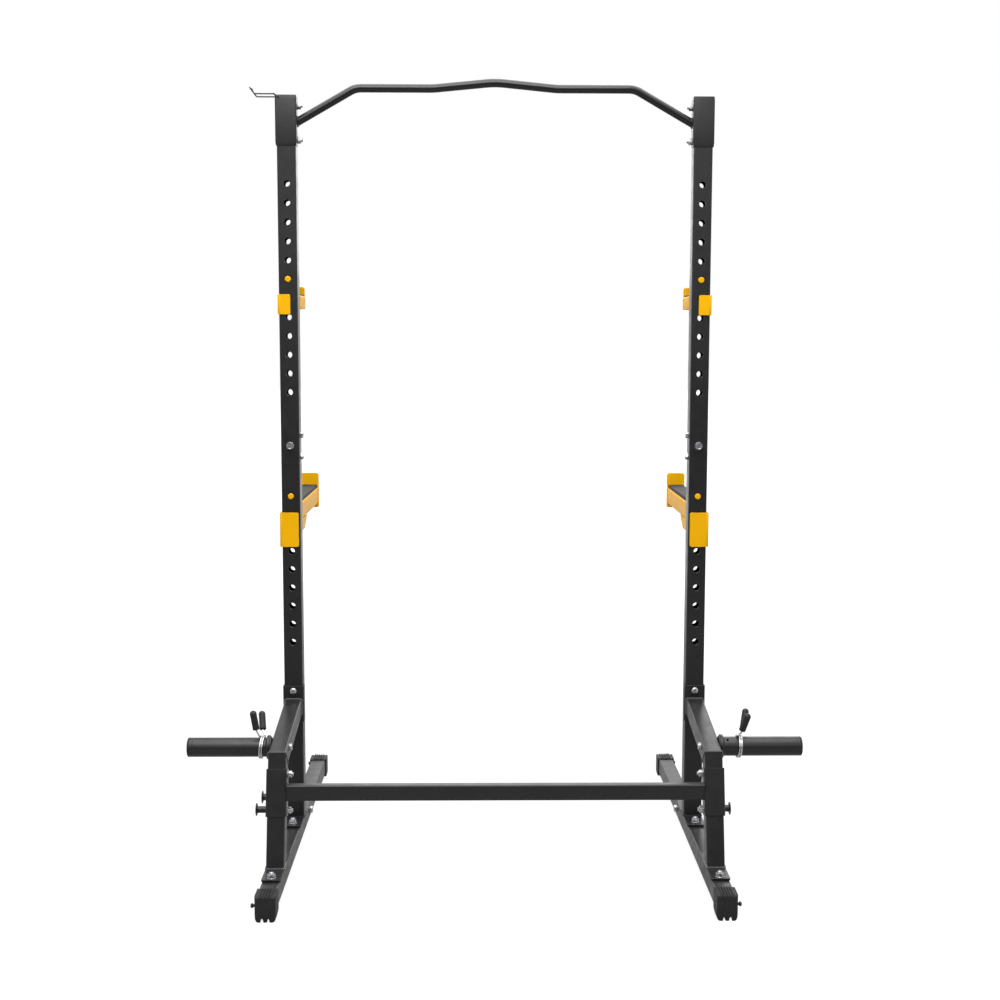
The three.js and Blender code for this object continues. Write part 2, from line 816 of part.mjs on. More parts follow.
function collarWirePath() {
  const [first, last] = collarArms;
  const tip = collarGripStart + collarGripBoreDepth - fitGap - collarWire;
  const bendTurn = THREE.MathUtils.radToDeg(collarArmBend / coilRadius);
  const steps = Math.round((coilStepsPerTurn * coilSweep) / 360);
  const coil = Array.from({ length: steps + 1 }, (_, step) => {
    const share = step / steps;
    const angle = first.angle - bendTurn - share * (coilSweep - 2 * bendTurn);
    return onCollar(coilRadius, angle, first.x - (coilAdvance * (first.angle - angle)) / coilSweep);
  });
  const elbow = (arm) => armPoint(arm, coilRadius + collarArmBend);
  const knee = (arm) => armPoint(arm, coilRadius + collarArmJogRise);
  const corner = (arm, point) => armPoint(arm, coilRadius).lerp(elbow(arm).lerp(point, 1 / 2), 1 / 2);
  return [
    armPoint(first, tip),
    knee(first),
    elbow(first),
    corner(first, coil[0]),
    ...coil,
    corner(last, coil[steps]),
    elbow(last),
    knee(last),
    armPoint(last, tip),
  ];
}

// Least gap between two stretches of the wire that are at least half a turn apart along it
function leastWireGap(path) {
  const curve = new THREE.CatmullRomCurve3(path, false, 'centripetal');
  const marks = curve.getSpacedPoints(coilStepsPerTurn * coilStepsPerTurn * collarTurns);
  const pace = curve.getLength() / (marks.length - 1);
  const apart = Math.ceil((Math.PI * coilRadius) / pace);
  let least = Infinity;
  for (let i = 0; i < marks.length; i += 1) {
    for (let j = i + apart; j < marks.length; j += 1) {
      least = Math.min(least, marks[i].distanceTo(marks[j]) - collarWire);
    }
  }
  return least;
}

function gripGeometry(arm) {
  const outer = collarGripWidth / 2;
  const bore = collarWire / 2 + fitGap;
  const dome = [1, 2, 3].map((step) => {
    const angle = (Math.PI / 2) * (step / 3);
    return [outer * Math.cos(angle), collarGripLength - outer + outer * Math.sin(angle)];
  });
  const profile = [
    [0, collarGripBoreDepth],
    [bore, collarGripBoreDepth],
    [bore, 0],
    [outer, 0],
    [outer, collarGripLength - outer],
    ...dome.slice(0, 2),
    [0, collarGripLength],
  ];
  const points = profile.map(([r, y]) => new THREE.Vector2(r, y));
  const grip = new THREE.LatheGeometry(points, gripSides).rotateX(Math.PI / 2);
  const foot = armPoint(arm, collarGripStart);
  return grip.rotateY(-radians(collarArmLean)).rotateX(-radians(arm.angle)).translate(foot.x, foot.y, foot.z);
}

// Pull-up bar and wire hook
function pullUpBar() {
  const end = uprightX - channelFace - fitGap;
  const bend = barBendSpan / 2;
  const shoulder = barShoulderSpan / 2;
  const fall = (barLevel - barEndHeight) / (uprightX - channelFace - bend);
  const corners = (overrun) => {
    const tip = end + overrun;
    const half = [
      { at: [tip, barLevel - fall * (tip - bend)], radius: 0 },
      { at: [bend, barLevel], radius: barBendRadius },
      { at: [shoulder, barLevel], radius: barShoulderRadius },
    ];
    const crown = { at: [0, barLevel + barCrown], radius: barCrownRadius };
    const far = half.map(({ at: [x, z], radius }) => ({ at: [-x, z], radius })).reverse();
    return [...half, crown, ...far].map(({ at: [x, z], radius }) => ({ at: new THREE.Vector3(x, 0, z), radius }));
  };
  const outside = toSolid(swept(bentPath(corners(barWidth)), barWidth / 2, barSides));
  const inside = toSolid(swept(bentPath(corners(2 * barWidth)), barWidth / 2 - barWall, barSides));
  const between = block([-end, end], [-barWidth, barWidth], [barEndHeight - 2 * barWidth, barLevel + 2 * barWidth]);
  return outside.subtract(inside).intersect(between);
}

// The wire runs from its far tip round the closed end to its near tip, and a stub lies on the bracket's web
function wireHook() {
  const level = barBracketTop + wireHookRise;
  const root = uprightX + channelFace + fitGap + wireHookWidth / 2;
  const half = wireHookSpread / 2;
  const end = root + wireHookReach;
  const wire = swept(bentPath([
    { at: [-end - farTipReach, half, level + farTipRise], radius: 0 },
    { at: [-end, half, level], radius: wireHookBend },
    { at: [-root, half, level], radius: wireHookBend },
    { at: [-root, -half, level], radius: wireHookBend },
    { at: [-end, -half, level], radius: wireHookBend },
    { at: [-end - nearTipReach, -half, level + nearTipRise], radius: 0 },
  ].map(({ at, radius }) => ({ at: new THREE.Vector3(...at), radius }))), wireHookWidth / 2, wireSides);
  const stubY = -channelFace - fitGap - wireHookWidth / 2;
  const stub = swept(bentPath([
    { at: [-root, -half + wireHookBend, level], radius: 0 },
    { at: [-root, stubY, level], radius: wireHookBend / 2 },
    { at: [-root + wireStubReach, stubY, level - wireStubDrop], radius: 0 },
  ].map(({ at, radius }) => ({ at: new THREE.Vector3(...at), radius }))), wireHookWidth / 2, wireSides);
  return joined([toSolid(wire), toSolid(stub)]);
}

// Saddles of the hooks and arms: a folded plate round the upright's outer side, with the pin on its back
function saddle({ plate, pinHeight, pinWidth, pinProud, tabDrop, tabHeight, tabReach, backInset, backRise,
  backCorner, tabCorner }) {
  const inside = uprightWidth + 2 * fitGap;
  const face = uprightHalf + fitGap + plate;
  const backReach = face + uprightHalf - backInset;
  const section = channelSection(inside, plate, tabReach, backReach, 0);
  const bottom = pinHeight - tabDrop - tabHeight;
  const fold = toSolid(extruded(section, tabHeight).rotateZ(Math.PI / 2).translate(face, 0, bottom));
  const inner = face - tabReach;
  const tabTrim = cornerTrim(inner, bottom, tabHeight, tabCorner, [-face - cutOverrun, 0]);
  const back = roundedOutline([
    [-uprightHalf + backInset, bottom, 0],
    [face, bottom, 0],
    [face, pinHeight + backRise, backCorner],
    [-uprightHalf + backInset, pinHeight + backRise, backCorner],
  ]);
  const backPlate = toSolid(extruded(back, plate).rotateX(Math.PI / 2).translate(0, face, 0));
  return joined([drilled(fold, tabTrim), backPlate, hangingPin(pinWidth, pinProud, pinHeight, face - plate / 2)]);
}

// Tools that round the two free corners of a saddle's rear tab
function cornerTrim(inner, bottom, height, corner, [from, to]) {
  const cut = (z, up) => {
    const shape = new THREE.Shape();
    shape.moveTo(inner - cutOverrun, z - up * cutOverrun);
    shape.lineTo(inner + corner, z - up * cutOverrun);
    shape.lineTo(inner + corner, z);
    shape.absarc(inner + corner, z + up * corner, corner, -up * Math.PI / 2, -up * Math.PI, up > 0);
    shape.lineTo(inner - cutOverrun, z + up * corner);
    shape.closePath();
    return toSolid(extruded(shape, to - from).rotateX(Math.PI / 2).translate(0, to, 0));
  };
  return [cut(bottom, 1), cut(bottom + height, -1)];
}

// A pin through the upright, chamfered at its tip, with a centre dimple
function hangingPin(width, proud, height, root) {
  const radius = width / 2;
  const chamfer = proud / 2;
  const tip = uprightHalf + proud;
  const pin = turned('y', [
    [0, -root],
    [radius, -root],
    [radius, tip - chamfer],
    [radius - chamfer, tip],
    [pinDimple / 2, tip],
    [0, tip - pinDimple / 2],
  ], [0, 0, 0], pinSides);
  return toSolid(toGeometry(pin).rotateX(Math.PI).translate(0, 0, height));
}

function hookSaddle() {
  return saddle({
    plate: hookPlate,
    pinHeight: hookPinHeight,
    pinWidth: hookPinWidth,
    pinProud: hookPinProud,
    tabDrop: hookTabDrop,
    tabHeight: hookTabHeight,
    tabReach: hookTabReach,
    backInset: hookBackInset,
    backRise: hookBackRise,
    backCorner: hookBackCorner,
    tabCorner: hookTabCorner,
  });
}

const hookBackFace = uprightHalf + fitGap + hookPlate;
const hookCradleTop = hookPinHeight - hookCradleTopDrop;
const hookCradleStart = hookBackFace + fitGap;
const hookCradleInner = -uprightHalf + hookBackInset;

// The cradle is a folded plate open below, closed at its far end by a rounded lip
function hookCradle() {
  const width = uprightHalf - hookCradleInner;
  const middle = (uprightHalf + hookCradleInner) / 2;
  const section = channelSection(width - 2 * hookPlate, hookPlate, hookCradleHeight, hookCradleHeight, 0);
  const tray = extruded(section, hookCradleLength + weldSink).rotateX(-Math.PI / 2);
  const lip = roundedOutline([
    [hookCradleInner, hookCradleTop - hookCradleHeight, 0],
    [uprightHalf, hookCradleTop - hookCradleHeight, 0],
    [uprightHalf, hookCradleTop + hookLipRise, hookLipCorner],
    [hookCradleInner, hookCradleTop + hookLipRise, hookLipCorner],
  ]);
  const lipEnd = hookCradleStart + hookCradleLength + hookLipThickness;
  return joined([
    toSolid(tray.translate(middle, hookCradleStart, hookCradleTop)),
    toSolid(extruded(lip, hookLipThickness).rotateX(Math.PI / 2).translate(0, lipEnd, 0)),
  ]);
}

function hookPad() {
  const width = uprightHalf - hookCradleInner - 2 * hookPadInset;
  const length = hookCradleLength - 2 * fitGap;
  const middle = (uprightHalf + hookCradleInner) / 2;
  const pad = extruded(roundedRectangle(width, length, hookPadCorner), hookPadThickness);
  return toSolid(pad.translate(middle, hookCradleStart + hookCradleLength / 2, hookCradleTop + fitGap));
}

const armBackFace = uprightHalf + fitGap + armPlate;
const armBeamTop = armPinHeight - armBeamTopDrop;
const armBeamBottom = armBeamTop - armBeamHeight;
const armBeamStart = armBackFace + fitGap;
const armBeamMiddle = -uprightHalf + armBeamInset + armBeamWidth / 2;

function armSaddle() {
  const folded = saddle({
    plate: armPlate,
    pinHeight: armPinHeight,
    pinWidth: armPinWidth,
    pinProud: armPinProud,
    tabDrop: armTabDrop,
    tabHeight: armTabHeight,
    tabReach: armTabReach,
    backInset: armBackInset,
    backRise: armBackRise,
    backCorner: armBackCorner,
    tabCorner: armTabCorner,
  });
  const half = armBeamWidth / 2;
  return joined([
    folded,
    armGusset(armBeamMiddle - half),
    armGusset(armBeamMiddle + half - armGussetThickness),
  ]);
}

// A gusset below the beam, from the saddle's back plate
function armGusset(x) {
  const top = armBeamBottom - fitGap;
  const outline = roundedOutline([
    [armBackFace - weldSink, top, 0],
    [armBackFace - weldSink, top - armGussetDepth, 0],
    [armBackFace + armGussetFoot, top - armGussetDepth, armGussetCorner],
    [armBackFace + armGussetReach, top, 0],
  ]);
  const plate = extruded(outline, armGussetThickness).rotateX(Math.PI / 2).rotateZ(Math.PI / 2);
  return toSolid(plate.translate(x, 0, 0));
}

function armBeam() {
  const beam = tubeGeometry(armBeamWidth, armBeamHeight, armBeamWall, armBeamCorner, armBeamLength + weldSink);
  beam.rotateX(-Math.PI / 2).translate(armBeamMiddle, armBeamStart, armBeamTop - armBeamHeight / 2);
  const half = armBeamWidth / 2 + armEndOverhang;
  const end = roundedOutline([
    [armBeamMiddle - half, armBeamBottom - armEndDrop, armEndBottomCorner],
    [armBeamMiddle + half, armBeamBottom - armEndDrop, armEndBottomCorner],
    [armBeamMiddle + half, armBeamTop + armEndRise, armEndTopCorner],
    [armBeamMiddle - half, armBeamTop + armEndRise, armEndTopCorner],
  ]);
  const endFace = armBeamStart + armBeamLength + armEndThickness;
  return joined([
    toSolid(beam),
    toSolid(extruded(end, armEndThickness).rotateX(Math.PI / 2).translate(0, endFace, 0)),
  ]);
}

function armStrip() {
  const half = armBeamWidth / 2 - armStripInset;
  return block(
    [armBeamMiddle - half, armBeamMiddle + half],
    [armBeamStart + fitGap, armBeamStart + armBeamLength - fitGap],
    [armBeamTop + fitGap, armBeamTop + fitGap + armStripThickness],
  );
}

// Bolts, built with the head's seat at the origin and the shank toward +y
function hexBolt() {
  const radius = hexHeadFlats / Math.sqrt(3);
  const head = new THREE.CylinderGeometry(radius, radius, hexHeadHeight, 6);
  return joined([
    toSolid(head.translate(0, -washerThickness - hexHeadHeight / 2, 0)),
    rod('y', washerWidth, [-washerThickness, 0], [0, 0, 0], pinSides),
    rod('y', boltWidth, [-weldSink, boltLength], [0, 0, 0], boltSides),
  ]);
}

function buttonBolt() {
  const radius = buttonHeadWidth / 2;
  const head = turned('y', [
    [0, 0],
    [radius, 0],
    [radius, buttonHeadHeight - buttonHeadEdge],
    [radius - buttonHeadEdge, buttonHeadHeight],
    [0, buttonHeadHeight],
  ], [0, 0, 0], pinSides);
  const socketRadius = buttonSocketFlats / Math.sqrt(3);
  const socket = new THREE.CylinderGeometry(socketRadius, socketRadius, 2 * buttonSocketDepth, 6);
  const whole = toSolid(toGeometry(head).rotateX(Math.PI));
  return joined([
    whole.subtract(toSolid(socket.translate(0, -buttonHeadHeight, 0))),
    rod('y', boltWidth, [-weldSink, boltLength], [0, 0, 0], boltSides),
  ]);
}

function laidAlongX(solid) {
  return toSolid(toGeometry(solid).rotateZ(-Math.PI / 2));
}

// Finishes
function finish(color, roughness, metalness) {
  return new THREE.MeshStandardMaterial({ color, roughness, metalness });
}

const powderBlack = finish(0x232323, 0.45, 0.2);
const powderYellow = finish(0xf2b200, 0.4, 0.1);
const plasticBlack = finish(0x1c1c1d, 0.6, 0);
const rubberBlack = finish(0x2b2d2c, 0.85, 0);
const zinc = finish(0xc9cacb, 0.35, 0.9);
const springWire = finish(0xd8d8da, 0.25, 0.95);

// The rack
const rack = new THREE.Group();
const rightSide = new THREE.Group();
const leftSide = new THREE.Group();
rightSide.position.x = uprightX;
leftSide.position.x = -uprightX;
rack.add(rightSide, leftSide);

function addMesh(group, name, geometry, material, place = [0, 0, 0]) {
  const mesh = new THREE.Mesh(geometry, material);
  mesh.name = name;
  mesh.position.set(...place);
  group.add(mesh);
}

function addPair(name, solid, material, [x, y, z] = [0, 0, 0]) {
  const geometry = toGeometry(solid);
  addMesh(rightSide, `${name}_right`, geometry, material, [x, y, z]);
  addMesh(leftSide, `${name}_left`, mirrored(geometry), material, [-x, y, z]);
}

addPair('base_rail', baseRail(), powderBlack);
addPair('end_cap_front', endCap(), plasticBlack);
addPair('end_cap_rear', facingRear(endCap()), plasticBlack);
const bandPegSolid = bandPeg();
addPair('band_peg_inner', bandPegSolid, powderBlack, [0, bandPegPlaces[0], bandPegHeight]);
addPair('band_peg_outer', bandPegSolid, powderBlack, [0, bandPegPlaces[1], bandPegHeight]);

addPair('lower_upright', lowerUpright(), powderBlack);
addPair('upper_upright', upperUpright(), powderBlack);
addPair('top_plug', topPlug(), plasticBlack);
const hexBoltSolid = hexBolt();
const hexBoltAcross = laidAlongX(hexBoltSolid);
addPair('splice_bolt_rear', hexBoltSolid, zinc, [0, -uprightHalf, spliceFrontBolt]);
addPair('splice_bolt_lower', hexBoltAcross, zinc, [-uprightHalf, 0, spliceSideBolts[0]]);
addPair('splice_bolt_upper', hexBoltAcross, zinc, [-uprightHalf, 0, spliceSideBolts[1]]);

addPair('rear_post', rearPost(), powderBlack);
addPair('rear_brace', rearBrace(), powderBlack);
addPair('brace_bracket', braceBracket(), powderBlack);
addPair('brace_bolt', buttonBolt(), zinc, [0, -channelFace, braceBoltHeight]);
addPair('crossmember_bracket', crossmemberBracket(), powderBlack);
addPair('weight_peg', weightPeg(), powderBlack);
addPair('weight_peg_cap', pegCap(), plasticBlack);

addPair('bar_bracket', barBracket(), powderBlack);
addPair('hook_saddle', hookSaddle(), powderYellow);
addPair('hook_cradle', hookCradle(), powderYellow);
addPair('hook_pad', hookPad(), plasticBlack);
addPair('arm_saddle', armSaddle(), powderYellow);
addPair('arm_beam', armBeam(), powderYellow);
addPair('arm_strip', armStrip(), rubberBlack);

addMesh(rack, 'crossmember', toGeometry(crossmember()), powderBlack);
addMesh(rack, 'pull_up_bar', toGeometry(pullUpBar()), powderBlack);
addMesh(rack, 'wire_hook', toGeometry(wireHook()), powderBlack);

// Both collars are the same part; the right one is turned end for end, and both lie tilted on their pegs
const wirePath = collarWirePath();
const wireGap = leastWireGap(wirePath);
console.log(`least gap of the collar wire to itself: ${wireGap.toFixed(2)} mm`);

function addCollar(side, offset, turn, facing) {
  const collar = new THREE.Group();
  const x = Math.cos(facing) * -(uprightX + legHalf + offset);
  collar.position.set(x, pegY, pegHeight);
  collar.rotation.set(-radians(turn), radians(collarTilt), facing, 'YXZ');
  addMesh(collar, `collar_spring_${side}`, swept(wirePath, collarWire / 2, coilSides), springWire);
  addMesh(collar, `collar_grip_inner_${side}`, gripGeometry(collarArms[0]), plasticBlack);
  addMesh(collar, `collar_grip_outer_${side}`, gripGeometry(collarArms[1]), plasticBlack);
  rack.add(collar);
}

addCollar('left', leftCollarOffset, leftCollarTurn, 0);
addCollar('right', rightCollarOffset, rightCollarTurn, Math.PI);

rack.updateMatrixWorld(true);

export default rack;
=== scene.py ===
"""The looks of a power rack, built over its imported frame.

Lengths in the pieces' dataclasses and the camera's eye are millimetres, and are turned into metres where
meshes are made. Lengths of finishes and of the studio's floor, card and lamps are metres. The frame's axes
are kept: +Z up, +Y forward, the way the bar hooks reach, and +X to the right seen from behind.
"""

import json
import logging
import math
from dataclasses import dataclass
from enum import Enum
from typing import Sequence

import bmesh
import bpy
import numpy as np
from mathutils import Matrix, Vector


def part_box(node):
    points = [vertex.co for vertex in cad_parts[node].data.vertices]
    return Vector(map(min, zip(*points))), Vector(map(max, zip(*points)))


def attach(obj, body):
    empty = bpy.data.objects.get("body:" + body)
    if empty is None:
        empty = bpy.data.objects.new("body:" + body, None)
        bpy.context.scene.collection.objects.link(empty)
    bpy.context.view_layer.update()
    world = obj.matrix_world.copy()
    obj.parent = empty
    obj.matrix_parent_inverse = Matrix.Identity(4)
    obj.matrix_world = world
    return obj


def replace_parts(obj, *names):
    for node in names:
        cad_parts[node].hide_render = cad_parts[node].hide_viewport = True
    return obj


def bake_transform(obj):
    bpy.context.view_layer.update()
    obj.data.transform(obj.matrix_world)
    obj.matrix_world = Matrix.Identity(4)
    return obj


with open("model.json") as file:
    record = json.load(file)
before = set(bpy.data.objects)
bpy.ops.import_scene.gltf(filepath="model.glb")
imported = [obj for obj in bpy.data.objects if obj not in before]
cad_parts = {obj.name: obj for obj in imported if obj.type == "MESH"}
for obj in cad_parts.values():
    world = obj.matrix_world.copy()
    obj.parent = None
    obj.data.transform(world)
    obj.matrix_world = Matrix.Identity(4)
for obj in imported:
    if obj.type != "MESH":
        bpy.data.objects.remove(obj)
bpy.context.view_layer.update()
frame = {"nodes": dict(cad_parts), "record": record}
MM = 0.001
MERGE_DISTANCE = 1e-5
log = logging.getLogger("power_rack")


class Side(Enum):
    """The two sides of the rack, with the sign of X on each."""

    LEFT = -1
    RIGHT = 1

    @property
    def word(self) -> str:
        """The side's name as the frame's nodes and bodies end in it."""
        return self.name.lower()


# Finishes


# What a node's inputs are set to, and what feeds them: input, source and the source's output.
Values = Sequence[tuple[str | int, object]]
Links = Sequence[tuple[str | int, bpy.types.Node, str | int]]
# Between these two values noise goes from one end of a look to the other.
NOISE_LOW = 0.3
NOISE_HIGH = 0.7


class NodeBoard:
    """A node tree, with short ways to add a node, set its sockets and join it to others."""

    def __init__(self, owner: bpy.types.Material | bpy.types.World) -> None:
        """Empties the node tree of a material or a world.

        Args:
            owner: the material or world.
        """
        owner.use_nodes = True
        self.tree = owner.node_tree
        self.tree.nodes.clear()

    def join(self, node: bpy.types.Node, links: Links) -> None:
        """Feeds a node's inputs.

        Args:
            node: the node.
            links: each input, with the node that feeds it and that node's output.
        """
        for socket, source, out in links:
            self.tree.links.new(source.outputs[out], node.inputs[socket])

    def add(self, kind: str, values: Values = (), links: Links = (), operation: str = "") -> bpy.types.Node:
        """Adds a node.

        Args:
            kind: its type, without the words ShaderNode.
            values: inputs with their values.
            links: inputs with what feeds them, as for join.
            operation: what a maths node does.

        Returns:
            The new node.
        """
        node = self.tree.nodes.new(f"ShaderNode{kind}")
        if operation:
            node.operation = operation
        for socket, value in values:
            node.inputs[socket].default_value = value
        self.join(node, links)
        return node

    def fade(self, source: bpy.types.Node, out: str | int, start: float, end: float, low: float,
             high: float) -> bpy.types.Node:
        """Maps a value in a straight line, held at both ends.

        Args:
            source: the node that gives the value.
            out: its output.
            start: the value that becomes low.
            end: the value that becomes high.
            low: what it is mapped to at the start.
            high: what it is mapped to at the end.

        Returns:
            The new node.
        """
        values = (("From Min", start), ("From Max", end), ("To Min", low), ("To Max", high))
        return self.add("MapRange", values, (("Value", source, out),))


class SurfaceBoard(NodeBoard):
    """A finish's nodes: one shader whose colour, gloss and grain come from noise on the object."""

    def __init__(self, name: str) -> None:
        """Starts a material with a shader, by the material's name.

        Args:
            name: the material's name.
        """
        self.material = bpy.data.materials.new(name)
        super().__init__(self.material)
        self.shader = self.add("BsdfPrincipled")
        self.add("OutputMaterial", links=(("Surface", self.shader, "BSDF"),))
        self.place = self.add("TexCoord")

    def noise(self, scale: float, detail: float) -> bpy.types.Node:
        """Adds noise with a scale in cells per metre and a number of finer octaves."""
        values = (("Scale", scale), ("Detail", detail))
        return self.add("TexNoise", values, (("Vector", self.place, "Object"),))

    def dress(self, colour: Sequence[float], shades: Sequence[float], roughness: float,
              gloss: Sequence[float], grain: Sequence[float]) -> bpy.types.Material:
        """Feeds the shader its colour, roughness and bump.

        Args:
            colour: the finish's own colour.
            shades: its noise's scale and detail, and the colour's share at the dark and the light end.
            roughness: the finish's own roughness.
            gloss: its noise's scale and detail, and what roughness loses and gains by it.
            grain: its noise's scale and detail, the bump's strength, and its depth in metres.

        Returns:
            The material.
        """
        scale, detail, *shares = shades
        ramp = self.add("ValToRGB", links=(("Fac", self.noise(scale, detail), 0),))
        for element, place, share in zip(ramp.color_ramp.elements, (NOISE_LOW, NOISE_HIGH), shares):
            element.position = place
            element.color = (*scaled(colour, share), 1)
        scale, detail, less, more = gloss
        clouds = self.noise(scale, detail)
        rough = self.fade(clouds, 0, NOISE_LOW, NOISE_HIGH, roughness - less, roughness + more)
        scale, detail, strength, depth = grain
        bump = self.add("Bump", (("Strength", strength), ("Distance", depth)),
                        (("Height", self.noise(scale, detail), 0),))
        self.join(self.shader, (("Base Color", ramp, "Color"), ("Roughness", rough, "Result"),
                                ("Normal", bump, "Normal")))
        return self.material


def scaled(colour: Sequence[float], share: float) -> tuple[float, ...]:
    """A colour with each channel multiplied by share."""
    return tuple(min(1.0, channel * share) for channel in colour)


@dataclass(frozen=True)
class PowderCoat:
    """Satin powder coat: a slight orange peel, and soft patches of lighter and darker colour."""

    name: str
    slot: str
    colour: tuple[float, float, float]
    roughness: float = 0.33
    shine: float = 0.36
    patchiness: float = 0.1
    peel_scale: float = 620.0
    peel_depth: float = 0.00012

    def material(self) -> bpy.types.Material:
        """Builds the coat's material.

        Returns:
            The material.
        """
        board = SurfaceBoard(self.name)
        board.shader.inputs["Specular IOR Level"].default_value = self.shine
        return board.dress(self.colour, shades=(9.0, 4.0, 1 - self.patchiness, 1 + self.patchiness),
                           roughness=self.roughness, gloss=(35.0, 5.0, 0.05, 0.06),
                           grain=(self.peel_scale, 2.0, 0.22, self.peel_depth))


@dataclass(frozen=True)
class PlatedSteel:
    """Bright plated metal with a fine grain and a cloudy gloss."""

    name: str
    slot: str
    colour: tuple[float, float, float]
    roughness: float = 0.28

    def material(self) -> bpy.types.Material:
        """Builds the plating's material.

        Returns:
            The material.
        """
        board = SurfaceBoard(self.name)
        board.shader.inputs["Metallic"].default_value = 1.0
        return board.dress(self.colour, shades=(160.0, 4.0, 0.86, 1.08), roughness=self.roughness,
                           gloss=(420.0, 3.0, 0.07, 0.1), grain=(1500.0, 2.0, 0.12, 0.00004))


@dataclass(frozen=True)
class MouldedPlastic:
    """Matt moulded plastic or rubber with a fine grain."""

    name: str
    slot: str
    colour: tuple[float, float, float]
    roughness: float = 0.55
    shine: float = 0.28
    grain_scale: float = 1400.0
    grain_depth: float = 0.00015

    def material(self) -> bpy.types.Material:
        """Builds the plastic's material.

        Returns:
            The material.
        """
        board = SurfaceBoard(self.name)
        board.shader.inputs["Specular IOR Level"].default_value = self.shine
        return board.dress(self.colour, shades=(60.0, 5.0, 0.85, 1.2), roughness=self.roughness,
                           gloss=(90.0, 4.0, 0.06, 0.08),
                           grain=(self.grain_scale, 3.0, 0.3, self.grain_depth))


Finish = PowderCoat | PlatedSteel | MouldedPlastic
BLACK_COAT = PowderCoat("satin_black_coat", "black_powder_coat", (0.014, 0.014, 0.015))
# The beads' colour, lighter than the black coat's, is a painted highlight that makes the welds show as lit
# lines; the coat is also glossier.
PAINTED_HIGHLIGHT_BEAD_COAT = PowderCoat("glossy_bead_coat", "black_powder_coat", (0.03, 0.03, 0.031), 0.22, 1.0)
BAR_COAT = PowderCoat("smooth_bar_coat", "black_powder_coat", (0.012, 0.012, 0.013), 0.16, 0.34)
YELLOW_COAT = PowderCoat("yellow_coat", "yellow_powder_coat", (0.93, 0.47, 0.004), 0.38, 0.05, 0.03)
BLACK_PLASTIC = MouldedPlastic("moulded_black_plastic", "black_plastic", (0.014, 0.014, 0.015))
STRIP_RUBBER = MouldedPlastic("strip_rubber", "black_rubber", (0.022, 0.025, 0.023), 0.62, 0.14, 900.0,
                              0.0003)
GRIP_RUBBER = MouldedPlastic("grip_rubber", "grip_rubber", (0.02, 0.02, 0.022), 0.5)
ZINC = PlatedSteel("zinc_plate", "zinc_plated_steel", (0.5, 0.51, 0.53), 0.28)
WIRE = PlatedSteel("plated_wire", "spring_wire", (0.62, 0.62, 0.63), 0.22)
_materials: dict[str, bpy.types.Material] = {}


def dressed(finish: Finish) -> bpy.types.Material:
    """Gives a finish's material, which is made once.

    Args:
        finish: the finish.

    Returns:
        Its material.
    """
    if finish.name not in _materials:
        _materials[finish.name] = finish.material()
    return _materials[finish.name]


# Surfaces


# Edges turned more than this many degrees stay sharp, unless a piece says otherwise.
SHARP_TURN = 32.0


class Shell:
    """A mesh gathered from grids of points and flat outlines, merged where they meet."""

    def __init__(self) -> None:
        """Starts with no points."""
        self.points: list[np.ndarray] = []
        self.faces: list[list[int]] = []
        self.count = 0

    def _keep(self, points: np.ndarray) -> np.ndarray:
        """Stores points.

        Args:
            points: millimetres, in any arrangement.

        Returns:
            Their indices, in the points' own arrangement.
        """
        flat = points.reshape(-1, 3)
        index = np.arange(len(flat)) + self.count
        self.points.append(flat)
        self.count += len(flat)
        return index.reshape(points.shape[:-1])

    def grid(self, points: np.ndarray, wrap: bool = False) -> "Shell":
        """Adds quads between neighbouring rows and columns of a grid of points.

        Args:
            points: millimetres, rows by columns by 3.
            wrap: whether the last column joins the first.

        Returns:
            The shell itself.
        """
        index = self._keep(points)
        if wrap:
            index = np.concatenate([index, index[:, :1]], axis=1)
        quads = np.stack([index[:-1, :-1], index[:-1, 1:], index[1:, 1:], index[1:, :-1]], axis=-1)
        self.faces += quads.reshape(-1, 4).tolist()
        return self

    def lid(self, ring: np.ndarray) -> "Shell":
        """Adds one flat face round a ring of points."""
        self.faces.append(self._keep(ring).tolist())
        return self

    def piece(self, name: str, finish: Finish, body: str = "frame",
              sharp: float = SHARP_TURN) -> bpy.types.Object:
        """Makes the shell one object that rides on a body.

        Args:
            name: the piece's name.
            finish: its finish.
            body: the frame's body that it rides on.
            sharp: edges turned more than this many degrees stay sharp.

        Returns:
            The new object.
        """
        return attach(self.free_piece(name, finish, sharp), body)

    def free_piece(self, name: str, finish: Finish, sharp: float) -> bpy.types.Object:
        """Makes the shell one object that rides on nothing yet.

        Args:
            name: the piece's name.
            finish: its finish.
            sharp: edges turned more than this many degrees stay sharp.

        Returns:
            The new object.
        """
        mesh = bpy.data.meshes.new(name)
        mesh.from_pydata((np.concatenate(self.points) * MM).tolist(), [], self.faces)
        edit = bmesh.new()
        edit.from_mesh(mesh)
        bmesh.ops.remove_doubles(edit, verts=edit.verts, dist=MERGE_DISTANCE)
        bmesh.ops.recalc_face_normals(edit, faces=edit.faces)
        edit.to_mesh(mesh)
        edit.free()
        mesh.shade_smooth()
        mesh.set_sharp_from_angle(angle=math.radians(sharp))
        mesh.materials.append(dressed(finish))
        made = bpy.data.objects.new(name, mesh)
        bpy.context.scene.collection.objects.link(made)
        log.info("%s: %d faces", name, len(self.faces))
        return made


def show(shell: Shell, node: str, side: Side | None = None, finish: Finish = BLACK_COAT,
         body: str = "frame", sharp: float = SHARP_TURN) -> None:
    """Makes a shell a piece that stands for one of the frame's nodes.

    Args:
        shell: the shell.
        node: the node's name, without its side.
        side: the node's side, where it has one.
        finish: the piece's finish.
        body: the frame's body that it rides on.
        sharp: edges turned more than this many degrees stay sharp.
    """
    name = f"{node}_{side.word}" if side else node
    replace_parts(shell.piece(f"{name}_dressed", finish, body, sharp), name)


